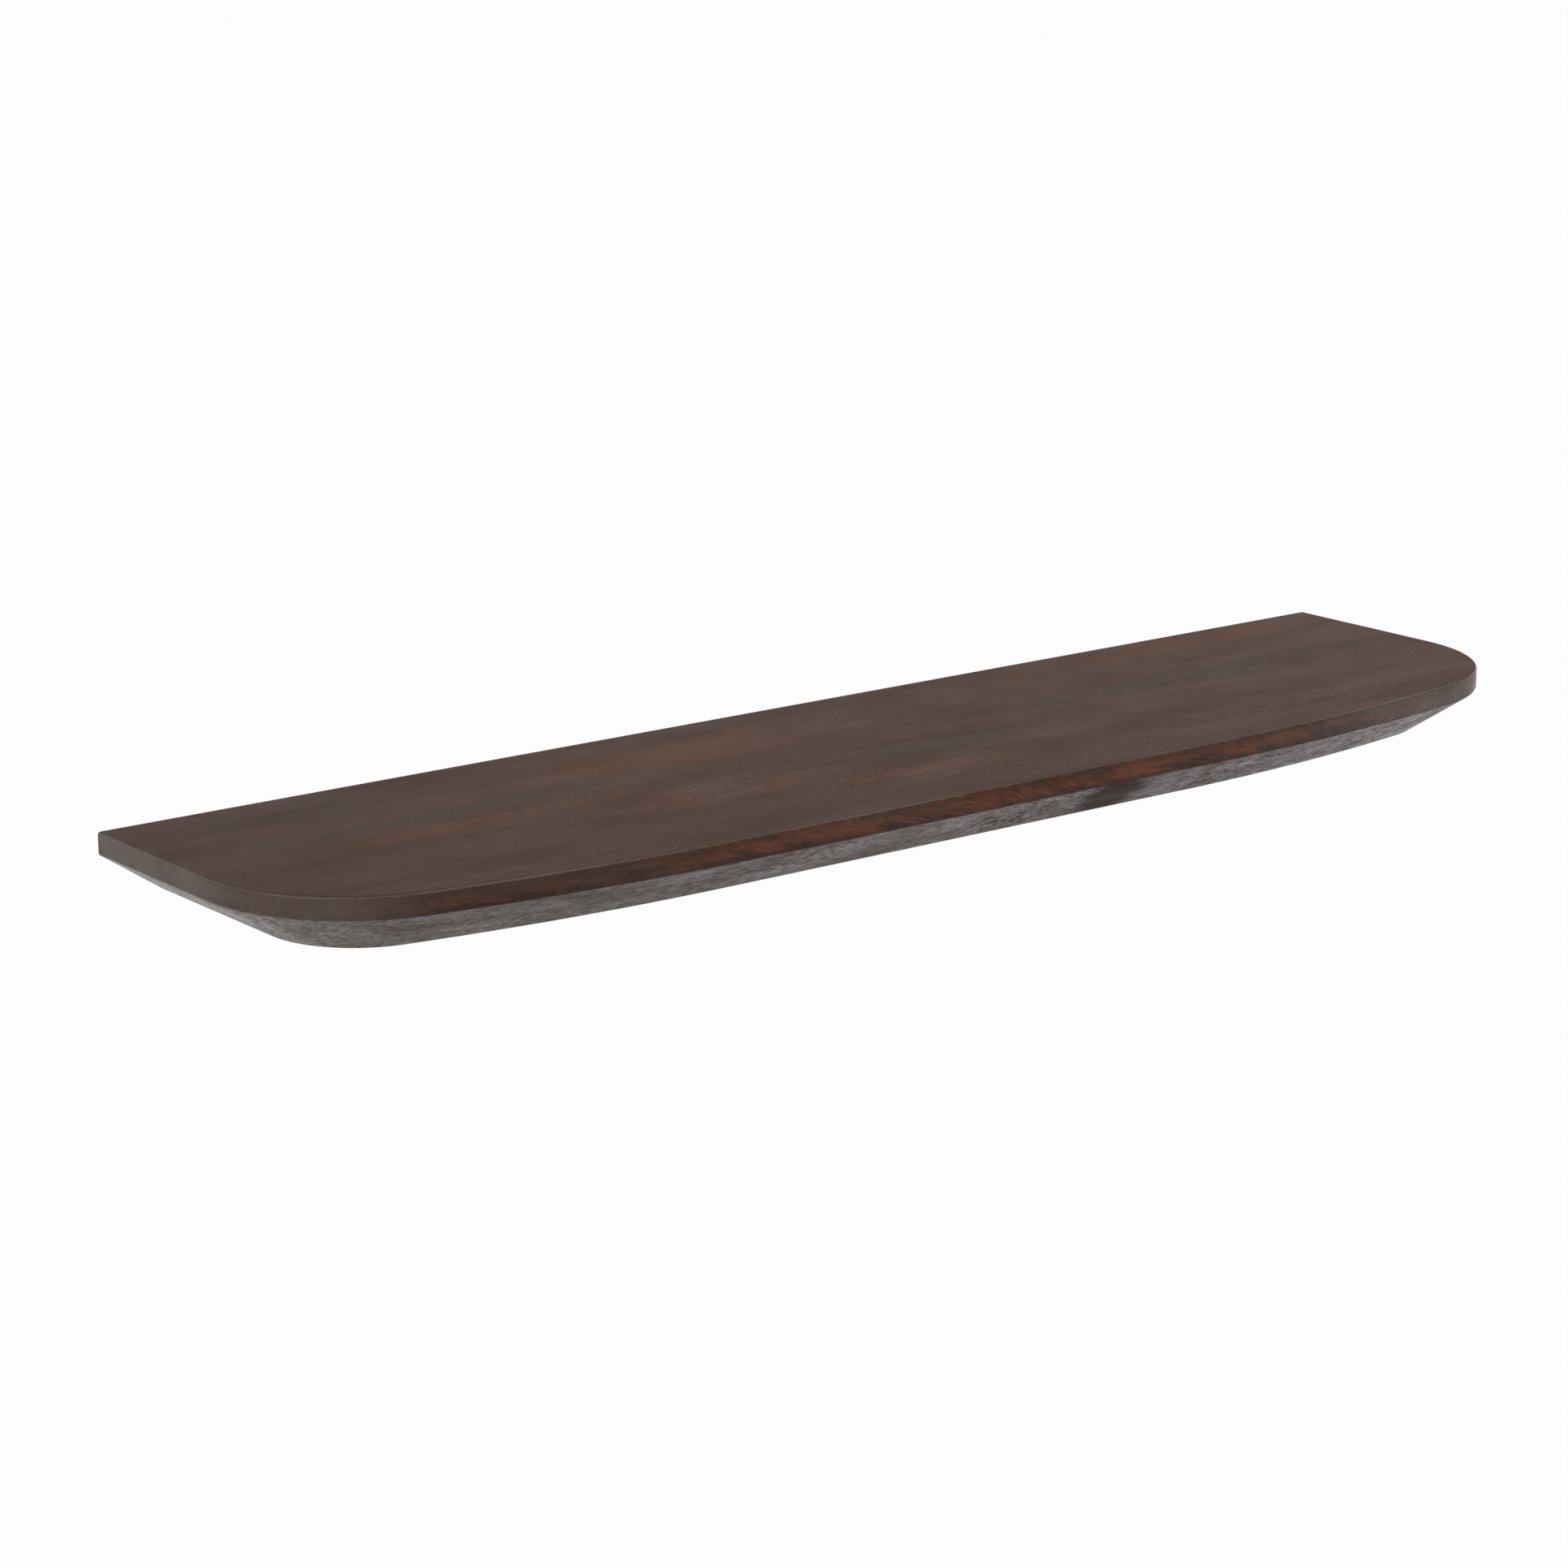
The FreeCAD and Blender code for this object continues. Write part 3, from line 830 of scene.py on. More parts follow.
# %% Raw wood inside the cuts
def raw_wood_finish():
    """Unstained wood as the router left it, with the cutter's fine rings."""
    material, tree, shader, coordinates = new_material("routed_wood")
    place = coordinates["Object"]
    fibre = bent_along_fibres(tree, place)
    broad = streaky(tree, place, (0.2, 0.006, 0.006))
    threads = streaky(tree, fibre, (0.012, 0.0006, 0.0006))
    pores = pore_dashes(tree, fibre, (0.005, 0.0006, 0.0006), 0.5, 0.42)
    tone = maths(tree, "ADD", product(tree, broad, 0.6), product(tree, threads, 0.4))
    colour = mix_paint(tree, tone, paint(122, 82, 54), RAW_BROWN)
    colour = mix_paint(tree, product(tree, pores, 0.7), colour, paint(62, 40, 28))
    fill_inputs(tree, shader, {"Base Color": colour, "Roughness": 0.75})
    marks = add_node(tree, "ShaderNodeTexWave", {"Vector": place, "Scale": 140.0,
                     "Distortion": 1.5, "Detail": 2.0}, bands_direction="X").outputs["Fac"]
    fuzz = maths(tree, "SUBTRACT", product(tree, threads, 0.3), pores)
    add_relief(tree, shader, maths(tree, "ADD", product(tree, marks, 0.25), fuzz), 0.6, 0.2 * MM)
    return material


routed_wood = raw_wood_finish()
print("wood finishes", [m.name for m in bpy.data.materials])

# %% [markdown]
# ## Metal finishes
#
# The rail is powder coated: a thick skin with a faint orange-peel texture that chips at the
# edges down to bare steel. The rods are drawn steel bar with a bright zinc plate, so their
# lines run along them. The inserts are turned brass, and the screws are blackened steel.

# %% Metal finishes
def powder_coat():
    """Dark grey powder coat that has worn to steel along its edges."""
    material, tree, shader, coordinates = new_material("rail_powder_coat")
    place = coordinates["Object"]
    worn = place_group(tree, worn_edges, {"Place": place, "Width": 0.0007,
                                          "Amount": 0.35})["Mask"]
    scratch = place_group(tree, fine_scratches, {"Place": place, "Share": 0.3,
                                                 "Size": (0.03, 0.0005, 0.0004)})["Mask"]
    dust = place_group(tree, tarnish, {"Place": place, "Patch": 0.012})["Cloud"]
    bare = maths(tree, "MAXIMUM", worn, product(tree, scratch, 0.35))
    colour = mix_paint(tree, product(tree, dust, 0.35), paint(44, 45, 47), paint(66, 66, 66))
    colour = mix_paint(tree, bare, colour, paint(168, 166, 162))
    fill_inputs(tree, shader, {"Base Color": colour, "Metallic": bare,
                               "Roughness": rescale(tree, dust, 0.0, 1.0, 0.42, 0.56, "LINEAR")})
    peel = noise(tree, place, 700.0, 2.0, 0.5)
    add_relief(tree, shader, maths(tree, "SUBTRACT", peel, product(tree, bare, 0.8)), 0.35,
               0.15 * MM)
    return material


def plain_metal(name, bright, dull, line_size, roughness, patch, wear, worn_colour):
    """A metal with drawn or turned lines, cloudy tarnish and edges that wear to one colour."""
    material, tree, shader, coordinates = new_material(name)
    place = coordinates["Object"]
    lines = streaky(tree, place, line_size)
    clouds = place_group(tree, tarnish, {"Place": place, "Patch": patch})
    scratch = place_group(tree, fine_scratches, {"Place": place, "Share": 0.5,
                                                 "Size": (0.0006, 0.012, 0.0006)})["Mask"]
    worn = place_group(tree, worn_edges, {"Place": place, "Width": 0.0004,
                                          "Amount": wear})["Mask"]
    worn = maths(tree, "MAXIMUM", worn, product(tree, scratch, 0.4))
    colour = mix_paint(tree, clouds["Cloud"], bright, dull)
    colour = mix_paint(tree, product(tree, clouds["Speck"], 0.35), colour, dull)
    colour = mix_paint(tree, worn, colour, worn_colour)
    lined = rescale(tree, lines, 0.0, 1.0, roughness - 0.05, roughness + 0.07, "LINEAR")
    fill_inputs(tree, shader, {
        "Base Color": colour, "Metallic": 1.0,
        "Roughness": maths(tree, "ADD", lined, product(tree, clouds["Cloud"], 0.12))})
    add_relief(tree, shader, maths(tree, "ADD", lines, product(tree, scratch, -0.6)), 0.25,
               0.04 * MM)
    return material


rail_coat = powder_coat()
bare_steel = plain_metal("tapped_steel", paint(176, 175, 172), paint(120, 114, 106),
                         (0.0004, 0.004, 0.0004), 0.34, 0.003, 0.2, paint(205, 204, 200))
rod_zinc = plain_metal("rod_zinc_plate", paint(196, 198, 200), paint(158, 160, 158),
                       (0.0005, 0.05, 0.0005), 0.30, 0.010, 0.35, paint(222, 222, 222))
insert_brass = plain_metal("turned_brass", paint(222, 184, 108), paint(164, 124, 66),
                           (0.004, 0.004, 0.00025), 0.26, 0.002, 0.4, paint(240, 212, 148))
screw_black = plain_metal("blackened_steel", paint(52, 51, 52), paint(38, 36, 36),
                          (0.003, 0.003, 0.0003), 0.38, 0.0015, 0.3, paint(150, 148, 145))
print("finishes", [m.name for m in bpy.data.materials])

# %% [markdown]
# ## The moulded edge
#
# The board's edge is one profile: down the upright rim, in along the bevel, onto the flat
# underside. Each turn is eased to a small arc, and a row of points lies close on each side of
# an arc, so that the smooth shading of the arc doesn't spread over the flat beside it.
#
# Sanding by hand never leaves the same arc all the way round. The radius therefore varies by
# up to three tenths of a millimetre and the upright faces dip by up to a twentieth, which makes
# highlights swim a little.

# %% Profile of the edge
SUPPORT = 0.8 * MM  # from an arc to the row that holds the flat beside it
ARRIS_VARIATION = 0.15  # share of its radius that an arris loses where it was sanded most
FACE_DIP = 0.05 * MM
# Two slow waves round the board: their lengths along x and along y, and their phase
SANDING_WAVES = ((0.190, -0.070, 0.4), (0.083, 0.130, 1.9))

bevel_angle = math.degrees(math.atan2(bevel_width, rim_bottom - underside))
face_angles = np.radians([90, 180, 180 + bevel_angle, 270])  # which way each face looks
profile_corners = np.array([[0, top], [0, rim_bottom], [bevel_width, underside]])
arc_rows = (9, 7, 6)
fill_rows = (2, 5)  # between the arcs, on the rim and on the bevel


def direction(angle):
    """Unit vectors from angles."""
    return np.stack([np.cos(angle), np.sin(angle)], -1)


def hand_finish(x, y):
    """Slow waves round the board from 0 to 1: the product of two sines at a slant."""
    first, second = (np.sin(2 * np.pi * (x / along + y / across) + phase)
                     for along, across, phase in SANDING_WAVES)
    return 0.5 + 0.5 * first * second


def moulded_edge(x, y):
    """The profile at each place of the outline, as (rows, places, 2) insets and heights.

    An arc's centre is its corner less the radius times the sum of the two face normals over
    one plus their dot product, and its points are the centre plus the radius times a normal
    that turns evenly from the first face to the second. Also gives the outward normals.
    """
    softness = hand_finish(x, y)
    radius = (arris_radius * (1 - ARRIS_VARIATION * softness))[None, :, None]
    rows, normals = [], []
    for n, corner in enumerate(profile_corners):
        before, after = direction(face_angles[n]), direction(face_angles[n + 1])
        turning = direction(np.linspace(face_angles[n], face_angles[n + 1], arc_rows[n]))
        centre = corner - radius * (before + after) / (1 + before @ after)
        ring = centre + radius * turning[:, None]
        start = ring[:1] - SUPPORT * direction(face_angles[n] + np.pi / 2)
        end = ring[-1:] + SUPPORT * direction(face_angles[n + 1] + np.pi / 2)
        if n:
            share = np.linspace(0, 1, fill_rows[n - 1] + 2)[1:-1, None, None]
            rows.append(rows[-1][-1:] * (1 - share) + start * share)
            normals.append(np.repeat(before[None], len(share), 0))
        rows.append(np.concatenate([start, ring, end]))
        normals.append(np.concatenate([before[None], turning, after[None]]))
    points = np.concatenate(rows)
    normals = np.broadcast_to(np.concatenate(normals)[:, None], points.shape)
    dip = FACE_DIP * hand_finish(y, x)[None, :, None] * normals[..., :1] ** 2
    return points - dip * normals, normals


print("bevel leans", round(bevel_angle, 1), "degrees from the upright rim")

# %% [markdown]
# ## The back and middle staves
#
# Cut across at any y, these staves have the same kind of section: a long flat band with the
# moulded edge at both ends. So the piece is a loop of points carried along y. Only the
# half-width changes on the way, where the sides run into the corner circles. The board's back
# edge is eased too: there the whole loop shrinks along its own normals over the last half
# millimetre.

# %% Back and middle staves
def half_width(y, inset):
    """Half the board's width at y: straight, and past the side's end the corner's circle."""
    beyond = np.maximum(-y - side_length, 0)
    return corner_x + np.sqrt((corner_radius - inset) ** 2 - beyond ** 2)


def carried_loop(y, shrink):
    """The section at each y as a closed loop: right edge, underside, left edge, top."""
    edge, normals = moulded_edge(half_width(y, 0.0), y)
    edge = edge - shrink[None, :, None] * normals
    x = half_width(y[None], edge[..., 0])
    right = np.stack([x, np.broadcast_to(y, x.shape), edge[..., 1]], -1)
    left = right[::-1] * (-1, 1, 1)
    across = np.linspace(1, -1, 25)[1:-1, None, None]
    under = right[-1:] * np.concatenate([across, np.ones_like(across), np.ones_like(across)], -1)
    over = right[:1] * np.concatenate([-across, np.ones_like(across), np.ones_like(across)], -1)
    return np.concatenate([right, under, left, over])


def straight_stave(node, y, shrink):
    """A closed stave: the carried loop, and one flat face at each end of the way."""
    loops = carried_loop(y, shrink)
    rows, columns = loops.shape[:2]
    faces = grid_faces(rows, columns, rows_close=True)
    faces.append([i * columns for i in range(rows)])
    faces.append([i * columns + columns - 1 for i in range(rows)])
    return make_piece(node + "_wood", loops, faces, stave_woods[node])


ease = np.linspace(0, np.pi / 2, 5)
eased_y = -back_arris_radius * (1 - np.cos(ease))
eased_shrink = back_arris_radius * (1 - np.sin(ease))
flat_y = np.linspace(-back_arris_radius - SUPPORT, back_joint, 18)
back_stave = straight_stave("back_stave", np.concatenate([eased_y, flat_y]),
                            np.concatenate([eased_shrink, np.zeros(len(flat_y))]))

middle_y = np.concatenate([np.linspace(back_joint, -side_length, 10),
                           np.linspace(-side_length, front_joint, 19)[1:]])
middle_stave = straight_stave("middle_stave", middle_y, np.zeros(len(middle_y)))

# %% [markdown]
# ## The front stave
#
# The front stave has no straight section, because its edge turns through the corners. Here the
# profile is carried along the outline instead: round the corner circle, along the shoulder
# circle, and straight along the front, then the same way back on the left. Each inset starts
# where its own circle meets the glue line, so every row begins exactly on that plane. From the
# profile's first and last rows, flat strips run straight back to the glue line.

# %% Front stave
corner_places = np.linspace(0, 1, 34)
shoulder_places = np.linspace(1, 2, 26)[1:]
front_places = np.linspace(2, 3, 16)[1:]
right_places = np.concatenate([corner_places, shoulder_places, front_places])


def front_outline(place, inset):
    """x and y on the right of the outline, for a place from 0 at the glue line to 3 at x = 0.

    From 0 to 1 the angle runs from the glue line's to the corner's full turn, about the corner's
    centre. From 1 to 2 it runs on to a quarter turn about the shoulder's centre. From 2 to 3
    the point moves straight along the front.
    """
    joint_angle = np.arcsin((-front_joint - side_length) / (corner_radius - inset))
    corner = joint_angle + np.clip(place, 0, 1) * (corner_turn - joint_angle)
    shoulder = corner_turn + np.clip(place - 1, 0, 1) * (np.pi / 2 - corner_turn)
    on_corner = place <= 1
    radius = np.where(on_corner, corner_radius, shoulder_radius) - inset
    angle = np.where(on_corner, corner, shoulder)
    centre_x = np.where(on_corner, corner_x, shoulder_x)
    centre_y = np.where(on_corner, -side_length, shoulder_y)
    x = (centre_x + radius * np.cos(angle)) * (1 - np.clip(place - 2, 0, 1))
    return x, centre_y - radius * np.sin(angle)


def turned_stave(node):
    """A closed stave: profile rows along the outline, strips to the glue line, and its face."""
    edge, _ = moulded_edge(*front_outline(right_places, 0.0))
    x, y = front_outline(right_places[None], edge[..., 0])
    right = np.stack([x, y, edge[..., 1]], -1)
    path = np.concatenate([right, right[:, -2::-1] * (-1, 1, 1)], 1)
    to_glue_line = np.stack([path[[0, -1], :, 0], np.full((2, path.shape[1]), front_joint),
                             path[[0, -1], :, 2]], -1)
    sheet = np.concatenate([to_glue_line[:1], path, to_glue_line[1:]])
    rows, columns = sheet.shape[:2]
    grid = np.arange(rows * columns).reshape(rows, columns)
    faces = grid_faces(rows, columns)
    glue_face = np.concatenate([grid[0], grid[2:-2, -1], grid[-1, ::-1], grid[-3:1:-1, 0]])
    faces.append(glue_face.tolist())
    return make_piece(node + "_wood", sheet, faces, stave_woods[node])


front_stave = turned_stave("front_stave")

# %% [markdown]
# ## Turned shapes
#
# Bores, rods, inserts and screws are all turned: rings round an axis. A thread is a turned
# shape too, if its radius also depends on the angle. The groove's phase is the way along the
# axis in pitches, less the angle in turns, and after one turn the phase has moved by exactly
# one groove, so the seam closes by itself.

# %% Turned shapes and threads
FULL_TURN = 2 * np.pi
AXES = {"forwards": np.array([[1, 0, 0], [0, 0, 1], [0, -1, 0]]),
        "up": np.array([[1, 0, 0], [0, 1, 0], [0, 0, 1]])}


def turned(along, radius, centre, way, angles, flat_limit=None):
    """Rings of points: centre + radius * (cos, sin) across the axis + along * axis.

    along has one value per ring; radius has one per ring, or one per ring and angle. A flat
    limit per ring cuts the ring off at that distance on both sides, as spanner flats do.
    """
    across_one, across_two, axis = AXES[way]
    radius = np.broadcast_to(np.reshape(radius, (len(along), -1)), (len(along), len(angles)))
    first = radius * np.cos(angles)
    if flat_limit is not None:
        first = np.clip(first, -flat_limit[:, None], flat_limit[:, None])
    second = radius * np.sin(angles)
    return (np.asarray(centre) + first[..., None] * across_one + second[..., None] * across_two
            + np.asarray(along)[:, None, None] * axis)


def even_angles(count):
    """Angles of a full turn without the repeated last one."""
    return np.arange(count) / count * FULL_TURN


def thread(along, angles, crest, groove, pitch):
    """Crest radius less a groove with flat crests and roots, as a triangle wave cut off."""
    phase = (along[:, None] / pitch - angles / FULL_TURN) % 1
    wave = np.clip((1 - np.abs(2 * phase - 1)) * 1.4 - 0.2, 0, 1)
    return crest - groove * wave


def turned_piece(name, along, radius, centre, way, angles, material, flat_limit=None):
    """A closed turned piece; its first and last rings have no radius and merge to points."""
    points = turned(along, radius, centre, way, angles, flat_limit)
    faces = grid_faces(*points.shape[:2], columns_close=True)
    return make_piece(name, points, faces, material)


# %% [markdown]
# ## Cutters for the board
#
# The router cuts a shallow recess that hides the rail. A long drill makes each rod's bore,
# with a chamfered mouth and the cone that a drill's point leaves. From below, a stepped hole
# takes each brass insert and lets its screw through to the rod.

# %% Rounded plates, for the rail and for its recess
rail_low, rail_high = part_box("wall_rail")
rail_gap = 1 * MM
rail_face_gap = 0.5 * MM
rail_corner = 5 * MM
recess_floor = rail_low.y - rail_face_gap
SIDE_STEPS = 17


def rounded_rings(y, growth):
    """Rounded rectangles at each y, larger than the rail's outline by each growth.

    A corner's point is its centre plus the corner radius and the growth times a turning
    direction; the centres are the rail's half sizes less its corner radius.
    """
    centre_x, centre_z = rail_high.x - rail_corner, rail_high.z - rail_corner
    radius = (rail_corner + np.asarray(growth))[:, None]
    rings = []
    for quarter, (side_x, side_z) in enumerate(((1, 1), (-1, 1), (-1, -1), (1, -1))):
        angles = np.linspace(quarter, quarter + 1, 9) * np.pi / 2
        arc = np.stack([side_x * centre_x + radius * np.cos(angles),
                        side_z * centre_z + radius * np.sin(angles)], -1)
        rings.append(arc)
        if quarter in (0, 2):
            share = np.linspace(0, 1, SIDE_STEPS + 1)[None, 1:-1, None]
            start = arc[:, -1:]
            end = start * (-1, 1)
            rings.append(start * (1 - share) + end * share)
    ring = np.concatenate(rings, 1)
    level = np.broadcast_to(np.asarray(y)[:, None], ring.shape[:2])
    return np.stack([ring[..., 0], level, ring[..., 1]], -1)


def plate(name, y, growth, material):
    """A closed plate: the rings joined up, and one flat face at each end."""
    rings = rounded_rings(y, growth)
    rows, columns = rings.shape[:2]
    faces = grid_faces(rows, columns, columns_close=True)
    faces += [list(range(columns)), list(range((rows - 1) * columns, rows * columns))]
    return make_piece(name, rings, faces, material)


# %% Cut the board
rod_boxes = [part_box("support_rod_%d" % n) for n in (1, 2, 3, 4)]
rod_places = [(left.x + right.x) / 2 for left, right in rod_boxes]
rod_low, rod_high = rod_boxes[0]
rod_radius = (rod_high.z - rod_low.z) / 2
insert_low, insert_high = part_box("lock_insert_1")
insert_radius = (insert_high.y - insert_low.y) / 2
screw_low, screw_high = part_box("lock_screw_1")
screw_radius = (screw_high.y - screw_low.y) / 2
lock_y = (screw_low.y + screw_high.y) / 2

rod_gap = 0.3 * MM
way_gap = 0.3 * MM
bore_overrun = 5 * MM  # from the rod's tip to the bore's end
bore_radius = rod_radius + rod_gap
bore_end = rod_low.y - bore_overrun
drill_half_angle = math.radians(59)
mouth_chamfer = 2 * MM
hole_ease = 0.4 * MM
thread_gap = 0.05 * MM
way_radius = screw_radius + way_gap
CLEAR = 1 * MM  # how far a cutter runs past the face that it cuts


def bore_cutter(x):
    """A rod's bore, forwards from the recess: funnel mouth, straight bore, drill point."""
    mouth = -recess_floor
    point = bore_radius / math.tan(drill_half_angle)
    along = np.array([mouth - CLEAR, mouth - CLEAR, mouth + mouth_chamfer,
                      -bore_end - point, -bore_end])
    radius = np.array([0, bore_radius + mouth_chamfer + CLEAR, bore_radius, bore_radius, 0])
    return turned_piece("bore", along, radius, (x, 0, 0), "forwards", even_angles(56),
                        routed_wood)


def lock_way_cutter(x):
    """The stepped hole under a rod: eased mouth, insert hole, and the screw's way."""
    hole = insert_radius + thread_gap
    along = np.array([underside - CLEAR, underside - CLEAR, underside + hole_ease,
                      insert_high.z + thread_gap, insert_high.z + thread_gap, 0, 0])
    radius = np.array([0, hole + hole_ease + CLEAR, hole, hole, way_radius, way_radius, 0])
    return turned_piece("lock_way", along, radius, (x, lock_y, 0), "up", even_angles(48),
                        routed_wood)


recess = plate("recess", (recess_floor, -hole_ease, CLEAR),
               (rail_gap, rail_gap, rail_gap + hole_ease + CLEAR), routed_wood)
bores = [bore_cutter(x) for x in rod_places]
lock_ways = [lock_way_cutter(x) for x in rod_places]
cut_away(back_stave, [recess, *bores, *lock_ways])
cut_away(middle_stave, bores)
remove_helpers([recess, *bores, *lock_ways])

# %% [markdown]
# ## The wall rail
#
# The rail is cut from flat bar and deburred: a small chamfer round its front face and the
# least ease round its back. Its rod holes are tapped, so the cutter is the same thread as the
# rod's spigot, a twentieth of a millimetre larger. The wall screws' holes are countersunk.

# %% Rail
spigot_radius = 4 * MM
spigot_pitch = 1.25 * MM
spigot_groove = 0.6 * MM
wall_screw_radius = 2.75 * MM
wall_screw_head = 5.25 * MM
wall_screw_inboard = 60 * MM
wall_screw_ease = 0.2 * MM
rail_back_ease = 0.3 * MM
rail_front_chamfer = 0.6 * MM


def tapped_hole_cutter(x):
    """A threaded hole through the rail, with a small chamfer at the wall face."""
    angles = even_angles(60)
    along = np.linspace(-CLEAR, -rail_low.y + CLEAR, 64)
    radius = thread(along, angles, spigot_radius + thread_gap, spigot_groove, spigot_pitch)
    mouth = spigot_radius + hole_ease - along[:, None]
    radius = np.maximum(radius, mouth)
    along = np.concatenate([along[:1], along, along[-1:]])
    radius = np.concatenate([radius[:1] * 0, radius, radius[:1] * 0])
    return turned_piece("tapped_hole", along, radius, (x, 0, 0), "forwards", angles, bare_steel)


def wall_screw_cutter(x):
    """A clearance hole through the rail with a countersink at the front face."""
    front = -rail_low.y
    sink = front - (wall_screw_head - wall_screw_radius)
    along = np.array([-CLEAR, -CLEAR, wall_screw_ease, sink, front + CLEAR, front + CLEAR])
    radius = np.array([0, wall_screw_radius + wall_screw_ease + CLEAR, wall_screw_radius,
                       wall_screw_radius, wall_screw_head + CLEAR, 0])
    return turned_piece("wall_screw_hole", along, radius, (x, 0, 0), "forwards",
                        even_angles(48), rail_coat)


rail = plate("wall_rail_bar",
             (0, -rail_back_ease, rail_low.y + rail_front_chamfer, rail_low.y),
             (-rail_back_ease, 0, 0, -rail_front_chamfer), rail_coat)
rail_cutters = [tapped_hole_cutter(x) for x in rod_places]
rail_cutters += [wall_screw_cutter(x - math.copysign(wall_screw_inboard, x))
                 for x in rod_places]
cut_away(rail, rail_cutters)
remove_helpers(rail_cutters)

# %% [markdown]
# ## The support rods
#
# Each rod is turned in one piece: a threaded spigot with a groove behind it where the tool
# runs out, a shoulder that seats on the rail, two flats for a spanner, and a chamfered tip
# that finds its bore. Rings close together make the crisp corners, and the flats are only the
# rings' points held at a limit. The angles of the flats' edges are added to the even ones, so
# that a column of points runs exactly along each edge.

# %% Rods
FLATS_FROM_SHOULDER = (3 * MM, 11 * MM)
flat_reach = 5 * MM


def support_rod(n, x):
    """One rod, along from the wall plane to its tip."""
    shoulder = -rail_low.y
    tip = -rod_low.y
    flats = [shoulder + way for way in FLATS_FROM_SHOULDER]
    flat_angle = math.acos(flat_reach / rod_radius)
    edges = [flat_angle, np.pi - flat_angle, np.pi + flat_angle, FULL_TURN - flat_angle]
    angles = np.unique(np.concatenate([even_angles(64), edges]))
    thread_rings = np.linspace(0, shoulder - 0.9 * MM, 46)
    spigot = thread(thread_rings, angles, spigot_radius, spigot_groove, spigot_pitch)
    chamfered = spigot_radius - 0.5 * MM + thread_rings[:, None]
    spigot = np.minimum(spigot, chamfered)
    # Rings after the thread: way along, radius and whether the flats are cut there
    body = np.array([
        (shoulder - 0.8 * MM, spigot_radius - spigot_groove, 0),
        (shoulder, spigot_radius - spigot_groove, 0),
        (shoulder, rod_radius - 0.3 * MM, 0),
        (shoulder + 0.1 * MM, rod_radius - 0.1 * MM, 0),
        (shoulder + 0.3 * MM, rod_radius, 0),
        (shoulder + 1.1 * MM, rod_radius, 0),
        (flats[0], rod_radius, 0),
        (flats[0], rod_radius, 1),
        (flats[1], rod_radius, 1),
        (flats[1], rod_radius, 0),
        *[(s, rod_radius, 0) for s in np.linspace(flats[1] + 1 * MM, tip - 2.5 * MM, 14)],
        (tip - 1.6 * MM, rod_radius, 0),
        (tip - 1.4 * MM, rod_radius - 0.1 * MM, 0),
        (tip - 0.1 * MM, rod_radius - 1.4 * MM, 0),
        (tip, rod_radius - 1.6 * MM, 0),
        (tip, rod_radius - 2.6 * MM, 0),
        (tip, 0, 0),
    ])
    along = np.concatenate([[0], thread_rings, body[:, 0]])
    radius = np.concatenate([np.zeros((1, len(angles))), spigot,
                             np.repeat(body[:, 1:2], len(angles), 1)])
    limit = np.concatenate([np.full(len(thread_rings) + 1, rod_radius),
                            np.where(body[:, 2] > 0, flat_reach, rod_radius)])
    return turned_piece("rod_%d" % n, along, radius, (x, 0, 0), "forwards", angles, rod_zinc,
                        limit)


rods = [support_rod(n, x) for n, x in enumerate(rod_places, start=1)]

# %% [markdown]
# ## Inserts and locking screws
#
# An insert is a brass sleeve: a coarse thread outside that bites into the wood, a fine thread
# inside for the screw, and a slot across its lower end for a driver. Its rings run up the
# outside and down the inside and then close on themselves, like a tyre.
#
# The screw's thread has the same pitch and phase as the insert's, so their crests and roots
# lie in each other all the way. Its lower end has a hexagon socket: the socket's rings are
# hexagons, which are just another radius by angle.

# %% Inserts
screw_pitch = 1.0 * MM
screw_groove = 0.5 * MM
insert_pitch = 2.0 * MM
insert_groove = 0.7 * MM
insert_chamfer = 0.5 * MM


def lock_insert(n, x):
    """One insert with its slot, in absolute heights, so that its thread meets the screw's."""
    angles = even_angles(60)
    bottom, upper = insert_low.z, insert_high.z
    outer_z = np.linspace(bottom, upper, 61)
    outer = thread(outer_z, angles, insert_radius, insert_groove, insert_pitch)
    ends = insert_radius - insert_chamfer + np.minimum(outer_z - bottom, upper - outer_z)
    outer = np.minimum(outer, ends[:, None])
    inner_z = np.linspace(upper, bottom, 91)
    inner = thread(inner_z, angles, screw_radius + thread_gap, screw_groove, screw_pitch)
    mouth = screw_radius + hole_ease - np.minimum(inner_z - bottom, upper - inner_z)
    inner = np.maximum(inner, mouth[:, None])
    points = turned(np.concatenate([outer_z, inner_z]), np.concatenate([outer, inner]),
                    (x, lock_y, 0), "up", angles)
    faces = grid_faces(*points.shape[:2], rows_close=True, columns_close=True)
    insert = make_piece("insert_%d" % n, points, faces, insert_brass)
    cutter = slot_cutter(x, bottom)
    cut_away(insert, [cutter])
    remove_helpers([cutter])
    return insert


def slot_cutter(x, bottom):
    """A bar across the insert's lower end; its section is a slot with eased lips."""
    half_slot, slot_depth, lip = 0.8 * MM, 2.0 * MM, 0.15 * MM
    section = np.array([(-half_slot, slot_depth), (-half_slot, lip), (-half_slot - lip - CLEAR,
                        -CLEAR), (half_slot + lip + CLEAR, -CLEAR), (half_slot, lip),
                        (half_slot, slot_depth)])
    ends = np.array([-insert_radius - CLEAR, insert_radius + CLEAR]) + x
    points = np.stack([np.broadcast_to(ends, (len(section), 2)),
                       np.broadcast_to(section[:, :1] + lock_y, (len(section), 2)),
                       np.broadcast_to(section[:, 1:] + bottom, (len(section), 2))], -1)
    faces = grid_faces(len(section), 2, rows_close=True)
    faces += [list(range(0, 2 * len(section), 2)), list(range(1, 2 * len(section), 2))]
    return make_piece("slot", points, faces, insert_brass)


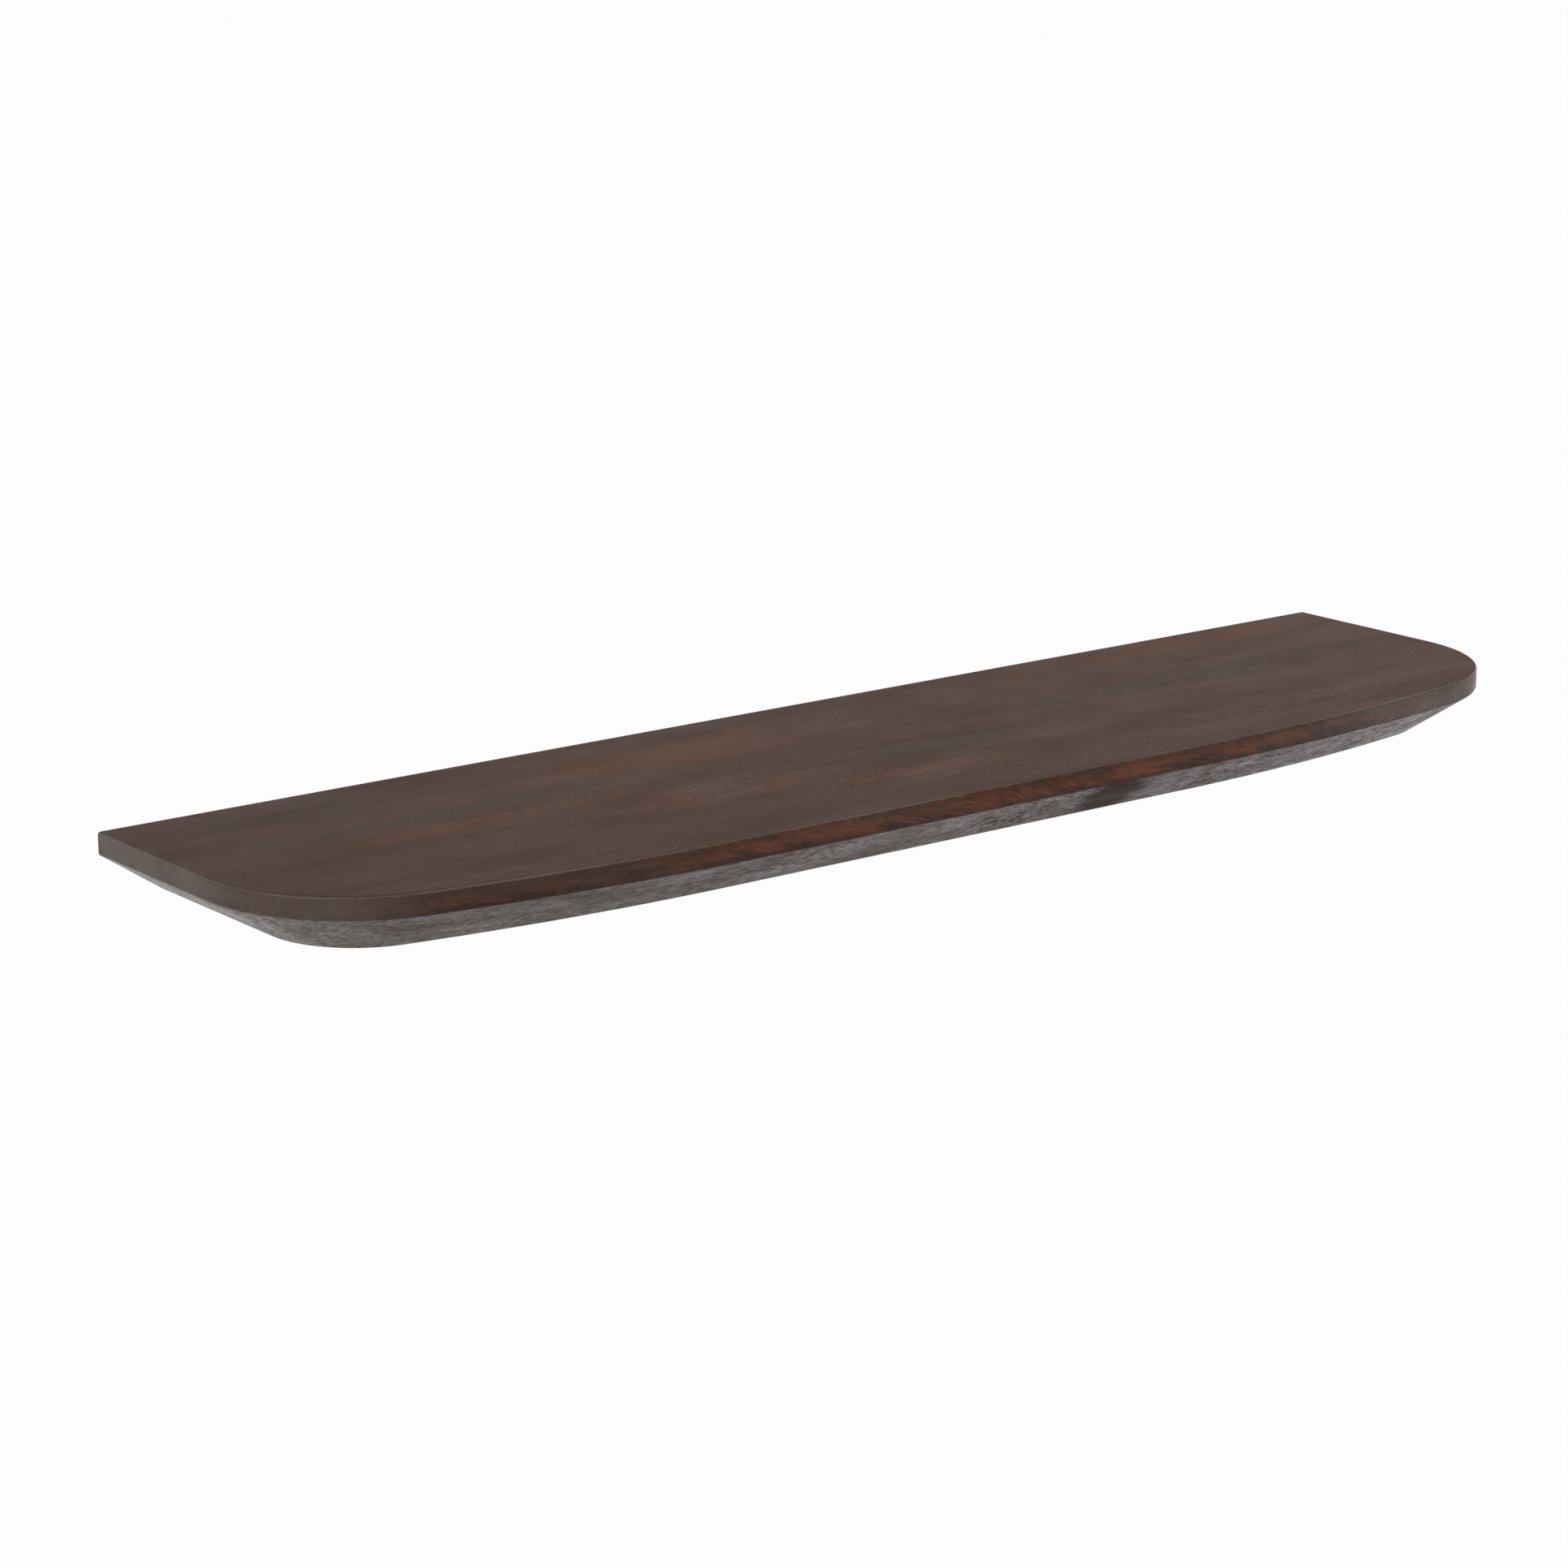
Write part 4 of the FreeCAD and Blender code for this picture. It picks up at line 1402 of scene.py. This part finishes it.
inserts = [lock_insert(n, x) for n, x in enumerate(rod_places, start=1)]


# %% Screws
screw_chamfer = 0.7 * MM
half_socket = 1.5 * MM
socket_depth = 3 * MM
socket_lead = 0.15 * MM
socket_point = 0.5 * MM


def lock_screw(n, x):
    """One headless screw from its tip down to its socket, in absolute heights."""
    angles = even_angles(60)
    thread_z = np.linspace(screw_high.z, screw_low.z, 109)
    shank = thread(thread_z, angles, screw_radius, screw_groove, screw_pitch)
    from_end = np.minimum(thread_z - screw_low.z, screw_high.z - thread_z)
    shank = np.minimum(shank, (screw_radius - screw_chamfer + from_end)[:, None])
    sixth = np.pi / 3
    hexagon = half_socket / np.cos((angles % sixth) - sixth / 2)
    socket_rings = screw_low.z + np.array([0, socket_lead, socket_depth,
                                           socket_depth + socket_point])
    along = np.concatenate([[screw_high.z], thread_z, socket_rings])
    radius = np.concatenate([[hexagon * 0], shank, [hexagon + socket_lead], [hexagon],
                             [hexagon], [hexagon * 0]])
    return turned_piece("screw_%d" % n, along, radius, (x, lock_y, 0), "up", angles,
                        screw_black)


screws = [lock_screw(n, x) for n, x in enumerate(rod_places, start=1)]

# %% [markdown]
# ## What each piece stands for
#
# Every new piece replaces the plain solid of the same sub-part and rides on the body that holds
# it. The board and its locks slide forwards together, and the rail and its rods stay on the
# wall.

# %% Ride and replace
BOARD_PIECES = [(back_stave, "back_stave", "lacquered_wood"),
                (middle_stave, "middle_stave", "lacquered_wood"),
                (front_stave, "front_stave", "lacquered_wood")]
BRACKET_PIECES = [(rail, "wall_rail", "rail_paint")]
for n in range(len(rod_places)):
    BOARD_PIECES.append((inserts[n], "lock_insert_%d" % (n + 1), "insert_brass"))
    BOARD_PIECES.append((screws[n], "lock_screw_%d" % (n + 1), "screw_steel"))
    BRACKET_PIECES.append((rods[n], "support_rod_%d" % (n + 1), "rod_steel"))

for body, members in (("board", BOARD_PIECES), ("bracket", BRACKET_PIECES)):
    for piece, node, slot_name in members:
        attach(piece, body)
        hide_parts(node)
print("pieces", len(BOARD_PIECES) + len(BRACKET_PIECES))

# %% [markdown]
# ## Studio
#
# A floating shelf has no floor near it. The floor lies far below, so the shadow is wide and
# faint, and the shelf can be looked at from underneath too. The camera and every gloss see
# floor and room as nearly white, but the light that they send onto the shelf is modest. One
# large soft light hangs overhead, a smaller one stands at the left, and a small low one at the
# right keeps the far end of the rim from going dark.

# %% Floor, lights and room
floor_drop = 2.6
floor_reach = 120.0
FLOOR_SEEN_WHITE = 0.97  # share of the floor that camera and gloss see as white
ROOM_LIGHT = 0.45
# Name, place, what it faces, width and height in metres, and watts
SOFT_LIGHTS = (
    ("overhead", (1.3, -0.6, 1.9), (0, -0.12, 0), 2.8, 2.0, 30),
    ("left_side", (-2.4, -0.8, 0.9), (-0.2, -0.12, 0), 1.4, 1.4, 12),
    ("right_side", (2.35, -1.25, -0.5), (0.35, -0.22, 0), 1.3, 0.8, 3.5),
)


def seen_directly(tree):
    """1 for rays from the camera, from a gloss or through glass, and 0 for those that light."""
    rays = add_node(tree, "ShaderNodeLightPath", {}).outputs
    return maths(tree, "ADD", rays["Is Camera Ray"], maths(
        tree, "ADD", rays["Is Glossy Ray"], rays["Is Transmission Ray"]), clamp=True)


def pale_floor():
    """A pale matt floor that the camera and reflections see as nearly white."""
    material, tree, shader, _ = new_material("pale_floor")
    fill_inputs(tree, shader, {"Base Color": (0.8, 0.8, 0.8, 1), "Roughness": 0.9,
                               "Specular IOR Level": 0.0})
    white = add_node(tree, "ShaderNodeEmission", {"Color": (1, 1, 1, 1), "Strength": 1.0})
    both = add_node(tree, "ShaderNodeMixShader",
                    {0: product(tree, seen_directly(tree), FLOOR_SEEN_WHITE),
                     1: shader.outputs[0], 2: white.outputs[0]})
    tree.links.new(both.outputs[0], tree.nodes["Material Output"].inputs["Surface"])
    return material


corners = np.array([(-1, -1), (1, -1), (1, 1), (-1, 1)]) * floor_reach
floor = bpy.data.meshes.new("floor")
floor.from_pydata([(x, y, -floor_drop) for x, y in corners.tolist()], [], [(0, 1, 2, 3)])
floor.materials.append(pale_floor())
floor = bpy.data.objects.new("floor", floor)
bpy.context.scene.collection.objects.link(floor)


def soft_light(name, place, target, width, height, watts):
    """A rectangular lamp at a place, turned towards a target."""
    lamp = bpy.data.lights.new(name, "AREA")
    lamp.shape = "RECTANGLE"
    lamp.size = width
    lamp.size_y = height
    lamp.energy = watts
    light = bpy.data.objects.new(name, lamp)
    bpy.context.scene.collection.objects.link(light)
    light.location = place
    light.rotation_euler = (Vector(target) - Vector(place)).to_track_quat("-Z", "Y").to_euler()
    return light


lights = [soft_light(*settings) for settings in SOFT_LIGHTS]

world = bpy.data.worlds.new("room")
world.use_nodes = True
sky = world.node_tree
seen = seen_directly(sky)
strength = add_node(sky, "ShaderNodeMapRange", {"Value": seen, "To Min": ROOM_LIGHT,
                                                "To Max": 1.0})
fill_inputs(sky, sky.nodes["Background"], {"Color": (1, 1, 1, 1),
                                           "Strength": strength.outputs[0]})
bpy.context.scene.world = world
bpy.context.scene.view_settings.view_transform = "Standard"
print("lights", [(light.name, light.data.energy) for light in lights])
